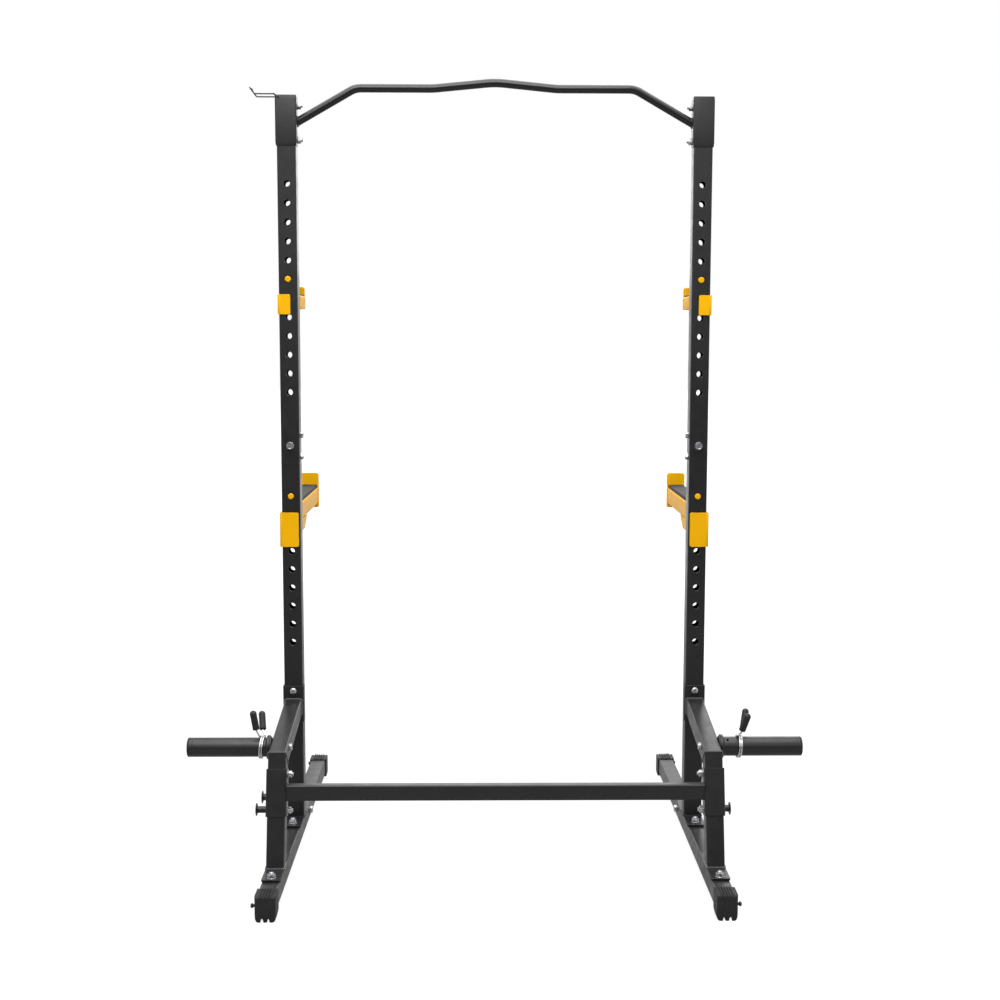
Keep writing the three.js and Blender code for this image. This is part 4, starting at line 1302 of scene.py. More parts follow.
@dataclass
class EndCap:
    """A moulded cap with three tread feet below, ribs on top and a socket for the rail's end."""

    side: Side
    end: float = 600.0
    length: float = 55.0
    half: float = 25.3
    top: float = 63.0
    tread: float = 10.8
    middle_tread: float = 8.4
    arch: float = 9.0
    rib_count: int = 5
    rib_pitch: float = 6.6
    rib_width: float = 3.4
    socket_half: float = 22.8
    socket_floor: float = 14.7
    socket_top: float = 60.3
    end_wall: float = 7.7
    corner: float = 6.0
    crown: float = 5.0
    wedge: float = 30.0
    wedge_rise: float = 12.0
    knob: tuple[float, float] = (588.0, 37.5)

    def build(self, word: str, sign: int) -> None:
        """Builds one cap, its socket and its knob.

        Args:
            word: the end's name, front or rear.
            sign: 1 at the front end, -1 at the rear.
        """
        outline = self._outline()
        shell = Shell()
        rows = [(self.end - self.length, 0.5, 0.0), (self.end - self.length + 0.5, 0.0, 0.0)]
        rows += [(self.end - self.length + step, 0.0, 0.0) for step in (8, 16, 25)]
        for turn in np.linspace(0, 0.42 * math.pi, 8):
            rows.append((self.end - self.corner * (1 - math.sin(turn)), 0.0, 1 - math.cos(turn)))
        rows.append((self.end, 0.5, 1.0))
        rings = [self._ring(outline, place, edge, narrow, sign) for place, edge, narrow in rows]
        shell.grid(np.stack(rings), wrap=True)
        shell.lid(rings[-1])
        heights = np.where(outline[:, 1] < self.top / 2, self.socket_floor, self.socket_top)
        mouth = np.stack([outline[:, 0] * self.socket_half / self.half, heights], axis=-1)
        floor = self.end - self.end_wall
        socket = [self._place(mouth, self.end - self.length, sign), self._place(mouth, floor, sign)]
        shell.grid(np.stack([rings[0], *socket]), wrap=True)
        shell.lid(socket[1])
        show(shell, f"end_cap_{word}", self.side, BLACK_PLASTIC)
        place, height = self.knob
        profile = [(-0.3, 0), (-0.3, 3.6), (3.6, 3.4), (4.0, 5.0), (5.0, 5.6), (7.6, 5.6), (9.3, 4.4),
                   (10.2, 2.2), (10.4, 0)]
        screw = lathe(Shell(), out_x(self.side, self.half, sign * place, height), profile, 28)
        screw.piece(f"cap_knob_{word}_{self.side.word}", BLACK_PLASTIC)

    def _outline(self) -> np.ndarray:
        """The section across the cap, from its left foot round by the ribs.

        Returns:
            Points round the section, n by 2.
        """
        step = (2 * self.half - 2 * self.tread - self.middle_tread) / 8
        toe = [(4.6, 0.0), (3.4, 0.8), (1.5, 4.0), (0.4, 9.0), (0.0, 15.0)]
        points = [(-self.half + inward, height) for inward, height in reversed(toe)]
        for left in (-self.half + self.tread, self.middle_tread / 2):
            for share, rise in ((0, 0.0), (0.5, 0.6), (1.3, 1.0), (2.7, 1.0), (3.5, 0.6), (4, 0.0)):
                points.append((left + share * step, rise * self.arch))
        points += [(self.half - inward, height) for inward, height in toe]
        points.append((self.half, self.top))
        for rib in reversed(range(self.rib_count)):
            middle = (rib - (self.rib_count - 1) / 2) * self.rib_pitch
            for share, rise in RIB:
                points.append((middle + share * self.rib_width, self.top + rise))
        points.append((-self.half, self.top))
        return np.array(points)

    def _ring(self, outline: np.ndarray, place: float, edge: float, narrow: float, sign: int) -> np.ndarray:
        """The outline at one place along the cap.

        It is drawn in by an edge, narrowed and lowered by a share of the end's rounding, and its underside
        rises from the feet to the mouth.

        Args:
            outline: the cap's section.
            place: the place, counted from the middle of the rail.
            edge: how far it is drawn in.
            narrow: the share of the end's rounding.
            sign: 1 at the front end, -1 at the rear.

        Returns:
            The ring's points in the frame.
        """
        ring = outline.copy()
        ring[:, 0] *= (self.half - narrow * self.corner - edge) / self.half
        above = ring[:, 1] > self.top / 2
        ring[:, 1] += np.where(above, -edge - narrow * self.crown, edge * (ring[:, 1] < self.arch))
        below = np.clip((self.end - self.wedge - place) / (self.length - self.wedge), 0, 1)
        ring[:, 1] = np.where(above, ring[:, 1], np.maximum(ring[:, 1], below * self.wedge_rise + edge))
        return self._place(ring, place, sign)

    def _place(self, ring: np.ndarray, place: float, sign: int) -> np.ndarray:
        """The ring's points in the frame."""
        x = outward(self.side, 0) + ring[:, 0]
        return np.stack([x, np.full(len(ring), sign * place), ring[:, 1]], axis=-1)


# Rear legs and brackets


@dataclass
class RearLeg:
    """The leaning post on its foot, the brace mitred to it, and the brackets at their ends."""

    side: Side
    foot_y: float = -404.47
    foot_half: float = 93.0
    foot_width: float = 48.0
    bracket_bottom: float = 336.0
    bracket_top: float = 436.0
    bracket_leg: float = 28.0
    cross_bracket_leg: float = 38.0
    cross_bracket_middle: float = 242.8
    cross_bracket_half: float = 59.0
    cross_bolt: float = 44.8
    mitre_gap: float = 0.15

    def build(self) -> None:
        """Builds the post, the brace and both brackets."""
        half = LEG.width / 2
        post = leaning(self.side, POST_LEAN, half)
        brace = leaning(self.side, math.pi / 2 - BRACE_RISE, half)
        lean = (math.pi / 2 + POST_LEAN - BRACE_RISE) / 2
        normal = np.array((0, math.sin(lean), math.cos(lean)))
        corner = np.array((self.side.value * UPRIGHT_X, MITRE_Y, MITRE_Z))
        shell = Shell()
        cut_tube(shell, LEG, post, Axis.Z.plane(PLATE_TOP), (corner - self.mitre_gap * normal, normal))
        plate = rectangle(-self.foot_width / 2, self.foot_width / 2, self.foot_y - self.foot_half,
                          self.foot_y + self.foot_half, (4, 4, 4, 4))
        slab(shell, out_z(self.side), plate, PLATE_TOP - 6, PLATE_TOP, 0.6)
        bead(self.side, "foot_weld", post, Axis.Z.plane(PLATE_TOP + 1.0), 2.8)
        bead(self.side, "mitre_weld", post, (corner, normal), 2.4)
        show(shell, "rear_post", self.side)
        shell = Shell()
        end = Axis.Y.plane(BRACKET_FACE - 0.3)
        cut_tube(shell, LEG, brace, (corner + self.mitre_gap * normal, normal), end)
        bead(self.side, "bracket_weld", brace, Axis.Y.plane(BRACKET_FACE - 1.2), 2.6)
        show(shell, "rear_brace", self.side)
        self._brackets()

    def _brackets(self) -> None:
        """Builds the brace's bracket on the upright and the crossmember's bracket on the post."""
        outline = channel_outline(UPRIGHT_GRASP, BRACKET_WALL, self.bracket_leg)
        shell = slab(Shell(), out_z(self.side, y=BRACKET_FACE), outline, self.bracket_bottom,
                     self.bracket_top, 0.4)
        show(shell, "brace_bracket", self.side)
        outline = channel_outline(POST_GRASP, BRACKET_WALL, self.cross_bracket_leg)
        face = -POST_GRASP / 2 - BRACKET_WALL
        line = self._post_line(face)
        shell = slab(Shell(), line, outline, -self.cross_bracket_half, self.cross_bracket_half, 0.4)
        show(shell, "crossmember_bracket", self.side)
        for word, step in (("lower", -self.cross_bolt), ("upper", self.cross_bolt)):
            place = np.asarray(self._post_line(0).origin) + step * np.asarray(line.along)
            inner = out_x(self.side, face, place[1], place[2], -1)
            Nut().build(Shell(), inner, 0.4).piece(f"cross_nut_{word}_{self.side.word}", ZINC)

    def _post_line(self, shift: float) -> Axes:
        """Axes along the post through the middle of the crossmember's bracket.

        Args:
            shift: how far the axes are moved square to the post.

        Returns:
            The axes.
        """
        z = self.cross_bracket_middle
        face = MITRE_Y - (MITRE_Z - z) * math.tan(POST_LEAN)
        return leaning(self.side, POST_LEAN, shift, face + LEG.width / 2 / math.cos(POST_LEAN), z)


@dataclass
class Crossmember:
    """The rectangular tube between the rear posts, welded to its brackets."""

    section: Section = Section(25.0, 40.0, 2.0, 4.0)
    y: float = -374.68
    z: float = 247.2
    reach: float = 523.9

    def build(self) -> None:
        """Builds the tube and the beads at its ends."""
        shell = Shell()
        line = Axes((0, self.y, self.z), (0, 1, 0), (0, 0, 1), (1, 0, 0))
        cut_tube(shell, self.section, line, Axis.X.plane(-self.reach), Axis.X.plane(self.reach))
        for sign in (-1, 1):
            weld_round(shell, self.section, line, Axis.X.plane(sign * (self.reach - 0.4)), 1.6)
        show(shell, "crossmember")


@dataclass
class BarBracket:
    """The channel round an upright's head that carries the pull-up bar, with its nuts."""

    side: Side
    bottom: float = 1885.0
    top: float = 2015.0
    leg: float = 40.0
    bolts: tuple[float, float] = (1901.5, 1990.0)

    def build(self) -> None:
        """Builds the channel and the nuts on its inner side."""
        outline = channel_outline(UPRIGHT_GRASP, BRACKET_WALL, self.leg, tip=1.4)
        web = out_z(self.side, y=BRACKET_FACE)
        shell = slab(Shell(), web, outline, self.bottom, self.top, 1.3, 7.0)
        show(shell, "bar_bracket", self.side)
        for word, place in zip(("lower", "upper"), self.bolts):
            inner = out_x(self.side, BRACKET_FACE, 0, place, -1)
            Nut().build(Shell(), inner, 0.5).piece(f"head_nut_{word}_{self.side.word}", ZINC)


@dataclass
class Bolts:
    """The bolts of one side that stand for nodes of the frame, and the nuts on its foot plates."""

    side: Side
    half: float = 25.0
    side_places: tuple[float, float] = (1064.5, 1122.5)
    rear_place: float = 1093.5
    brace_place: float = 422.0
    studs: tuple[float, ...] = (74.5, -74.5, -332.0, -484.0)
    shank: float = 26.0
    shank_radius: float = 5.0

    def build(self) -> None:
        """Builds heads with their shanks, and nuts on the studs."""
        for word, place, turn in zip(("lower", "upper"), self.side_places, (0.15, 0.6)):
            inward = out_x(self.side, -self.half, 0, place, -1)
            bolt = self._bolt(HexBolt().head(Shell(), inward, turn), inward)
            show(bolt, f"splice_bolt_{word}", self.side, ZINC)
        rear = out_y(self.side, 0, -self.half, self.rear_place, -1)
        show(self._bolt(HexBolt().head(Shell(), rear, 0.35), rear), "splice_bolt_rear", self.side, ZINC)
        brace = out_y(self.side, 0, BRACKET_FACE, self.brace_place, -1)
        show(self._bolt(ButtonBolt(19.0, 6.5).head(Shell(), brace), brace), "brace_bolt", self.side, ZINC)
        for index, y in enumerate(self.studs):
            nut = FOOT_NUT.build(Shell(), out_z(self.side, 0, y, PLATE_TOP), 0.3 + 0.2 * index)
            nut.piece(f"foot_nut_{index + 1}_{self.side.word}", ZINC)

    def _bolt(self, head: Shell, axes: Axes) -> Shell:
        """Adds a shank to a bolt's head, against the way that the head rises.

        Args:
            head: the shell that holds the bolt's head.
            axes: the axes that the head rises along.

        Returns:
            The shell.
        """
        tip, radius = -self.shank, self.shank_radius
        profile = [(tip, 0), (tip, radius - 0.8), (tip + 1, radius), (0, radius), (0, 0)]
        return lathe(head, axes, profile, 24)


# Weight pegs and spring collars


PEG_Y = -290.0
PEG_Z = 339.28


@dataclass
class WeightPeg:
    """A peg of round tube with a flange at its root, a vent through its wall and a cap at its end."""

    side: Side
    root: float = 22.8
    neck: float = 26.5
    flange: float = 30.5
    floor: float = 33.8
    radius: float = 24.5
    wall: float = 2.5
    end: float = 231.2
    tip: float = 236.5
    vent_at: float = 44.5
    vent_radius: float = 3.5
    vent_turn: float = math.radians(125)
    columns: int = 64
    span: int = 3
    seam: float = 222.5

    def build(self) -> None:
        """Builds the peg, its cap and the bolt that holds it."""
        line = out_x(self.side, 0, PEG_Y, PEG_Z)
        shell = Shell()
        edge = arc((self.floor - 6, self.flange - 2), 2, math.pi, math.pi / 2, 4)
        far = arc((self.floor - 2, self.flange - 2), 2, math.pi / 2, 0, 4)
        lathe(shell, line, [(self.root, 0), (self.root, self.neck - 0.5), (self.root + 0.5, self.neck),
                            (self.floor - 8, self.neck), *edge, *far, (self.floor, self.radius + 1.6),
                            (self.floor + 0.8, self.radius + 0.8), (self.floor + 2.2, self.radius)],
              self.columns)
        outer, rim = self._wall(shell, line, self.radius, self.floor + 2.2, True)
        inner, bore = self._wall(shell, line, self.radius - self.wall, self.floor, False)
        shell.grid(np.stack([rim, bore]), wrap=True)
        shell.grid(np.stack([outer, inner]), wrap=True)
        lathe(shell, line, [(self.floor, self.radius - self.wall), (self.floor, 0)], self.columns)
        show(shell, "weight_peg", self.side)
        self._cap(line)
        bolt = PEG_BOLT.head(Shell(), out_x(self.side, -LEG.width / 2, PEG_Y, PEG_Z, -1), 0.25)
        bolt.piece(f"peg_bolt_{self.side.word}", ZINC)

    def _wall(self, shell: Shell, line: Axes, radius: float, start: float,
              seamed: bool) -> tuple[np.ndarray, ...]:
        """Adds one face of the pipe's wall, with the vent's rim in a cell of its own grid.

        The cell is a few columns wide and as long as it is wide. Its grid runs from the cell's border
        to the vent's rim, and the rest of the wall shares the border's points.

        Args:
            shell: the shell to add to.
            line: the peg's axes.
            radius: the face's radius.
            start: where it starts along the peg.
            seamed: whether the fine seam near the peg's end is drawn.

        Returns:
            The ring at the pipe's end, and the vent's rim.
        """
        step = 2 * math.pi / self.columns
        turns = self.vent_turn + step * (np.arange(self.columns) + self.span)
        arc_half = self.span * step
        reach = self.radius * arc_half
        cell = self.vent_at + np.linspace(-reach, reach, 2 * self.span + 1)
        late = [self.seam - 1, self.seam - 0.5, self.seam, self.seam + 0.5, self.end - 0.4, self.end]
        depth = [radius, radius, radius - 0.35, radius, radius, radius - 0.3] if seamed else [radius] * 6
        before = self._rings(line, np.array([start, cell[0]]), np.full(2, radius), turns)
        after = self._rings(line, np.array([cell[-1], *late]), np.array([radius, *depth]), turns)
        shell.grid(before, wrap=True)
        shell.grid(after, wrap=True)
        open_turns = turns[: self.columns - 2 * self.span + 1]
        shell.grid(self._rings(line, cell, np.full(len(cell), radius), open_turns))
        border, spokes = cell_ring(arc_half, reach, 2 * self.span)
        rim_turn = np.arcsin(self.vent_radius * spokes[:, 0] / radius)
        rim = line.round(radius, self.vent_turn + rim_turn, self.vent_at + self.vent_radius * spokes[:, 1])
        edge = line.round(radius, self.vent_turn + border[:, 0], self.vent_at + border[:, 1])
        shell.grid(np.stack([edge, rim]), wrap=True)
        return after[-1], rim

    def _rings(self, line: Axes, places: np.ndarray, radii: np.ndarray, turns: np.ndarray) -> np.ndarray:
        """Points on the wall for each place and turn."""
        return line.round(radii[:, None], turns[None], places[:, None])

    def _cap(self, line: Axes) -> None:
        """Builds the cap: a rounded lid with a plug inside the peg.

        Args:
            line: the peg's axes.
        """
        seat = self.end + 0.3
        plug = self.radius - self.wall - 0.3
        crown = arc((self.tip - 3, self.radius - 3), 3, math.pi / 2, 0, 7)
        profile = [(seat, 0), (seat, plug - 2.5), (seat - 14, plug - 2.5), (seat - 14, plug - 0.6),
                   (seat - 13.4, plug), (seat, plug), (seat, self.radius - 0.3), (seat + 0.3, self.radius),
                   *crown, (self.tip, 6), (self.tip, 0)]
        show(lathe(Shell(), line, profile, 64), "weight_peg_cap", self.side, BLACK_PLASTIC)


def glide(start: np.ndarray, leave: np.ndarray, end: np.ndarray, arrive: np.ndarray,
          steps: int) -> np.ndarray:
    """Points on the cubic that leaves its start along one direction and arrives at its end along another.

    Args:
        start: the first place.
        leave: the direction and pace there.
        end: the last place.
        arrive: the direction and pace there.
        steps: how many steps it has.

    Returns:
        The points, both ends included.
    """
    way = np.linspace(0, 1, steps + 1)[:, None]
    return (
        (2 * way**3 - 3 * way**2 + 1) * start
        + (way**3 - 2 * way**2 + way) * leave
        + (3 * way**2 - 2 * way**3) * end
        + (way**3 - way**2) * arrive
    )


@dataclass
class SpringCollar:
    """A collar of one wound wire whose two crossed arms end in ribbed grips.

    It is worked out about its own coil's middle, with X along the coil's axis and angles from straight
    up toward +Y, and then turned, tilted and set on its peg.
    """

    side: Side
    offset: float
    turn: float
    tilt: float = math.radians(3)
    wire: float = 4.6
    coil: float = 27.25
    coil_edge: float = 31.0
    pitch: float = 5.1
    turns: int = 2
    arm_angle: float = math.radians(27)
    lean: float = math.radians(10.1)
    bend: float = 6.0
    jog: float = 4.3
    jog_rise: float = 19.0
    grip_start: float = 50.5
    grip_length: float = 52.0
    grip_width: float = 17.5
    wire_end: float = 79.0
    rib_count: int = 8

    def __post_init__(self) -> None:
        """Works out the coil's sweep and the matrix that sets the collar on its peg."""
        self.sweep = 2 * math.pi * self.turns + 2 * self.arm_angle
        self.advance = self.pitch * self.sweep / (2 * math.pi)
        facing = 0.0 if self.side is Side.LEFT else math.pi
        tilted = Matrix.Rotation(self.tilt, 3, "Y") @ Matrix.Rotation(-self.turn, 3, "X")
        self.matrix = np.array(tilted @ Matrix.Rotation(facing, 3, "Z"))
        self.origin = np.array((outward(self.side, LEG.width / 2 + self.offset), PEG_Y, PEG_Z))

    def build(self) -> None:
        """Builds the wire in two halves, each bent with its own arm, and the two grips."""
        path = self._path()
        middle = len(path) // 2
        halves = (("inner", 1, path[: middle + 1]), ("outer", -1, path[middle:]))
        for word, sign, half in halves:
            shell = sweep(Shell(), self._set(half), self.wire / 2, 16, self.matrix @ (1.0, 0.0, 0.0))
            made = shell.free_piece(f"collar_spring_{word}_{self.side.word}_dressed", WIRE, 40)
            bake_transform(made)
            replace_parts(made, f"collar_spring_{self.side.word}")
            self._grip(word, sign)

    def _set(self, points: np.ndarray) -> np.ndarray:
        """Points of the collar set on its peg."""
        return points @ self.matrix.T + self.origin

    def _on(self, radius: float, angle: float, x: float) -> np.ndarray:
        """A place at a radius and an angle from straight up."""
        return np.array((x, radius * math.sin(angle), radius * math.cos(angle)))

    def _arm(self, sign: int, radius: float) -> np.ndarray:
        """A place on an arm's centre line, which leans outward and is stepped below the grip.

        Args:
            sign: 1 for the inner arm, -1 for the outer.
            radius: the place's distance from the coil's axis.

        Returns:
            The place.
        """
        rise = radius - self.coil
        share = min(max((rise - self.bend) / (self.jog_rise - self.bend), 0.0), 1.0)
        shift = rise * math.tan(self.lean) + share * self.jog
        return self._on(radius, sign * self.arm_angle, sign * self.advance / 2 - shift)

    def _path(self) -> np.ndarray:
        """The wire's centre line: an arm, a smooth bend into the coil, the coil and the other arm.

        Returns:
            The centre line's points, n by 3.
        """
        skip = 1.35 * self.bend / self.coil
        angles = self.arm_angle - np.linspace(skip, self.sweep - skip, 150)
        places = self.advance / 2 - self.advance * (self.arm_angle - angles) / self.sweep
        coil = np.stack([places, self.coil * np.sin(angles), self.coil * np.cos(angles)], axis=-1)
        ends = []
        for sign, start, ahead in ((1, coil[0], coil[1] - coil[0]), (-1, coil[-1], coil[-2] - coil[-1])):
            tip, knee, elbow = (self._arm(sign, radius) for radius in (
                self.wire_end, self.coil + self.jog_rise, self.coil + 1.3 * self.bend))
            arm = along_evenly(bent_path([(tip, 0), (knee, 12), (elbow, 0)], 3), 1.5)
            leave = (elbow - knee) / np.linalg.norm(elbow - knee)
            arrive = ahead / np.linalg.norm(ahead)
            reach = 2.1 * self.bend
            turn_in = glide(elbow, leave * reach, start, arrive * reach, 12)
            ends.append(np.concatenate([arm[:-1], turn_in[:-1]]))
        return np.concatenate([ends[0], coil, ends[1][::-1]])

    def _grip(self, word: str, sign: int) -> None:
        """Builds a grip: rings of ribs on a sleeve with a domed end.

        Args:
            word: inner or outer.
            sign: 1 for the inner arm, -1 for the outer.
        """
        angle = sign * self.arm_angle
        along = np.array((-math.sin(self.lean), math.cos(self.lean) * math.sin(angle),
                          math.cos(self.lean) * math.cos(angle)))
        across = np.array((0, math.cos(angle), -math.sin(angle)))
        foot = self._set(self._arm(sign, self.grip_start)[None])[0]
        parts = [self.matrix @ part for part in (across, np.cross(along, across), along)]
        axes = Axes(tuple(foot), *(tuple(part) for part in parts))
        radius = self.grip_width / 2
        profile = [(0.0, self.wire / 2), (0.0, radius - 1.0), (0.5, radius - 0.3), (1.2, radius),
                   (3.6, radius)]
        room = self.grip_length - radius - 5.0
        for rib in range(self.rib_count):
            at = 4.0 + room * rib / self.rib_count
            pace = room / self.rib_count
            for share, sunk in ((0.1, 0.9), (0.34, 0.95), (0.5, 0.1), (0.7, 0.0), (0.92, 0.15)):
                profile.append((at + share * pace, radius - sunk))
        profile += [*arc((self.grip_length - radius, 0), radius, math.pi / 2, math.pi / 2 - 1.5, 8),
                    (self.grip_length, 0.0)]
        node = f"collar_grip_{word}"
        shell = lathe(Shell(), axes, profile, 40)
        show(shell, node, self.side, GRIP_RUBBER, f"{node}_{self.side.word}", 50)


# Wire hook


@dataclass
class WireHook:
    """The bent wire on the left bracket's top, with two raised prongs."""

    width: float = 3.8
    level: float = 2017.4
    root: float = 580.5
    end: float = 632.5
    half: float = 24.0
    pace: float = 1.2
    off_path: tuple[float, float, float] = (0.31, 0.17, 0.93)

    def build(self) -> None:
        """Builds the loop with its prongs, and the stub welded to the bracket's web."""
        root, end, half, level = self.root, self.end, self.half, self.level
        loop = bent_path([
            ((-end - 19, half, level + 25), 0), ((-end, half, level), 6), ((-root, half, level), 6),
            ((-root, -half, level), 6), ((-end, -half, level), 6), ((-end - 6, -half, level + 14), 0),
        ])
        shell = self._wire(Shell(), loop)
        stub = bent_path([((-root, -half + 6, level), 0), ((-root, -30.5, level), 1.9),
                          ((-root + 13, -30.5, level - 9), 0)])
        self._wire(shell, stub)
        show(shell, "wire_hook", sharp=40)

    def _wire(self, shell: Shell, corners: np.ndarray) -> Shell:
        """Adds the wire along a path, its tips rounded.

        Near a tip the radius is multiplied by the square root of a share that grows with the way to the
        tip, up to one.

        Args:
            shell: the shell to add to.
            corners: the path, n by 3.

        Returns:
            The shell.
        """
        path = along_evenly(corners, self.pace)
        run = np.linspace(0, 1, len(path)) * (len(path) - 1) * self.pace
        near = np.minimum(run, run[-1] - run)
        radius = self.width / 2 * np.sqrt(np.clip(0.35 + near / 2.4, 0, 1))
        return sweep(shell, path, radius, 14, self.off_path)


# Bar hooks and spotter arms


@dataclass
class Saddle:
    """A plate folded round an upright's outer side, with a pin on its front plate."""

    side: Side
    plate: float
    pin_z: float
    tab_drop: float
    tab_height: float
    tab_reach: float
    tab_corner: float
    back_inset: float
    half: float = 25.0
    fit: float = 0.3
    bend: float = 4.0
    sheet_gap: float = 0.06
    back_rise: float = 20.0
    back_corner: float = 16.0
    pin_radius: float = 8.0
    pin_proud: float = 3.0

    def build(self, shell: Shell) -> Shell:
        """Adds the fold, the tab behind the upright, the plate before it, and the pin.

        Args:
            shell: the shell to add to.

        Returns:
            The shell.
        """
        face = self.half + self.fit + self.plate
        bottom = self.pin_z - self.tab_drop - self.tab_height
        top = bottom + self.tab_height
        bend = self.bend
        gap = self.sheet_gap
        outline = channel_outline(2 * (self.half + self.fit), self.plate, 2 * bend, bend)
        fold = Axes((outward(self.side, face), 0, 0), (0, 1, 0), (-self.side.value, 0, 0), (0, 0, 1))
        slab(shell, fold, outline, bottom, top, 0.6, 2.0)
        tab = rectangle(face - self.tab_reach, face - bend, bottom, top,
                        (self.tab_corner, 0.5, 0.5, self.tab_corner))
        slab(shell, out_y(self.side), tab, -face + gap, -face + self.plate - gap, 0.4)
        inner = -self.half + self.back_inset
        crest = self.pin_z + self.back_rise
        back = rounded_outline([
            (inner, bottom, 0.8), (face - bend, bottom, 0.5), (face - bend, top - 0.5, 0.5),
            (face, top + 0.3, 0.5), (face, crest, self.back_corner), (inner, crest, self.back_corner),
        ])
        slab(shell, out_y(self.side), back, face - self.plate + gap, face - gap, 0.4)
        return self._pin(shell, face)

    def _pin(self, shell: Shell, face: float) -> Shell:
        """Adds the pin: chamfered at its tip, with a dimple in it.

        Args:
            shell: the shell to add to.
            face: how far the fold's outer face is from the upright's middle.

        Returns:
            The shell.
        """
        radius = self.pin_radius
        tip = self.half + self.pin_proud
        line = out_y(self.side, 0, 0, self.pin_z, -1)
        profile = [(-face + self.plate - 1, 0), (-face + self.plate - 1, radius), (tip - 1.7, radius),
                   (tip - 1.1, radius - 0.3), (tip - 0.2, radius - 1.3), (tip, radius - 1.8), (tip, 2.1),
                   (tip - 0.5, 1.7), (tip - 1.6, 0.9), (tip - 1.9, 0)]
        return lathe(shell, line, profile, 48)


@dataclass
class BarHook:
    """A bar hook: its saddle, a folded cradle with a rounded lip, and a pad."""

    side: Side
    pin_z: float = 1537.0
    plate: float = 3.0
    inner: float = -24.5
    outer: float = 25.0
    start: float = 28.6
    length: float = 110.5
    top: float = 1497.0
    height: float = 35.0
    lip: float = 4.0
    lip_rise: float = 26.0

    def build(self) -> None:
        """Builds the three pieces."""
        body = f"hook_{self.side.word}"
        saddle = Saddle(self.side, self.plate, self.pin_z, tab_drop=40.0, tab_height=53.0, tab_reach=34.0,
                        tab_corner=4.0, back_inset=0.5)
        show(saddle.build(Shell()), "hook_saddle", self.side, YELLOW_COAT, body)
        middle = (self.inner + self.outer) / 2
        end = self.start + self.length
        tray = Axes((outward(self.side, middle), 0, self.top), (self.side.value, 0, 0), (0, 0, -1), (0, 1, 0))
        outline = channel_outline(self.outer - self.inner - 2 * self.plate, self.plate, self.height)
        shell = slab(Shell(), tray, outline, self.start, end + 0.5, 0.3)
        lip = rectangle(self.inner, self.outer, self.top - self.height, self.top + self.lip_rise,
                        (0.8, 0.8, 8, 8))
        slab(shell, out_y(self.side), lip, end, end + self.lip, 0.6)
        for place in (self.start + 0.8, end - 0.6):
            self._bead(shell, place)
        show(shell, "hook_cradle", self.side, YELLOW_COAT, body)
        pad = rectangle(self.inner + 2, self.outer - 2, self.start + 0.3, end - 0.3, (3, 3, 3, 3))
        pad_shell = slab(Shell(), out_z(self.side), pad, self.top + 0.3, self.top + 4.3, 0.9)
        show(pad_shell, "hook_pad", self.side, BLACK_PLASTIC, body)

    def _bead(self, shell: Shell, place: float) -> None:
        """Adds a weld bead down both sides of the cradle at one end.

        Args:
            shell: the shell to add to.
            place: the y of that end.
        """
        for x in (self.inner, self.outer):
            low = self.top - self.height + 2
            path = [(outward(self.side, x), place, height) for height in (low, self.top - 4)]
            run = along_evenly(np.array(path), 0.8)
            swell = 1.3 * (0.8 + 0.25 * np.abs(np.sin(np.arange(len(run)) * 0.8)))
            sweep(shell, run, swell, 8, (0, 1, 0))


@dataclass
class SpotterArm:
    """A spotter arm: its saddle with two gussets, a square beam with an end plate, and a strip."""

    side: Side
    pin_z: float = 957.0
    middle: float = 1.0
    half: float = 24.0
    start: float = 30.6
    end: float = 424.0
    top: float = 936.0
    height: float = 48.0
    plate: float = 5.0
    back_face: float = 30.3
    strip: float = 9.7
    stop_half: float = 26.5
    stop_drop: float = 11.0
    stop_rise: float = 45.0
    stop_thickness: float = 6.0
    gusset_height: float = 32.0
    gusset_foot: float = 62.0
    gusset_length: float = 120.0

    def build(self) -> None:
        """Builds the saddle, the beam and the strip."""
        body = f"spotter_arm_{self.side.word}"
        saddle = Saddle(self.side, self.plate, self.pin_z, tab_drop=44.0, tab_height=93.0, tab_reach=51.0,
                        tab_corner=5.0, back_inset=1.0)
        shell = saddle.build(Shell())
        for left in (self.middle - self.half, self.middle + self.half - self.plate):
            self._gusset(shell, left)
        show(shell, "arm_saddle", self.side, YELLOW_COAT, body)
        shell = Shell()
        line = out_y(self.side, self.middle, 0, self.top - self.height / 2)
        section = Section(2 * self.half, self.height, 3.0, 4.0)
        cut_tube(shell, section, line, Axis.Y.plane(self.start), Axis.Y.plane(self.end + 0.5))
        for place in (self.start + 0.7, self.end - 0.5):
            weld_round(shell, section, line, Axis.Y.plane(place), 1.7)
        plate = rectangle(self.middle - self.stop_half, self.middle + self.stop_half,
                          self.top - self.height - self.stop_drop, self.top + self.stop_rise, (4, 4, 8, 8))
        slab(shell, out_y(self.side), plate, self.end, self.end + self.stop_thickness, 0.6)
        show(shell, "arm_beam", self.side, YELLOW_COAT, body)
        low = self.top + 0.3
        strip = rectangle(self.middle - self.half + 2, self.middle + self.half - 2, low, low + self.strip,
                          (0.8, 0.8, 1.6, 1.6))
        shell = slab(Shell(), out_y(self.side), strip, self.start + 0.3, self.end - 0.3, 0.7)
        show(shell, "arm_strip", self.side, STRIP_RUBBER, body)

    def _gusset(self, shell: Shell, left: float) -> None:
        """Adds one gusset below the beam, a flat plate that tapers toward the beam's front.

        Args:
            shell: the shell to add to.
            left: the x of its inner face, counted outward from the upright.
        """
        top = self.top - self.height - 0.3
        low = top - self.gusset_height
        back = self.back_face
        outline = rounded_outline([(back - 0.8, top, 0.5), (back - 0.8, low, 0.8),
                                   (back + self.gusset_foot, low, 12), (back + self.gusset_length, top, 0.8)])
        slab(shell, out_x(self.side), outline, left, left + self.plate, 0.5)


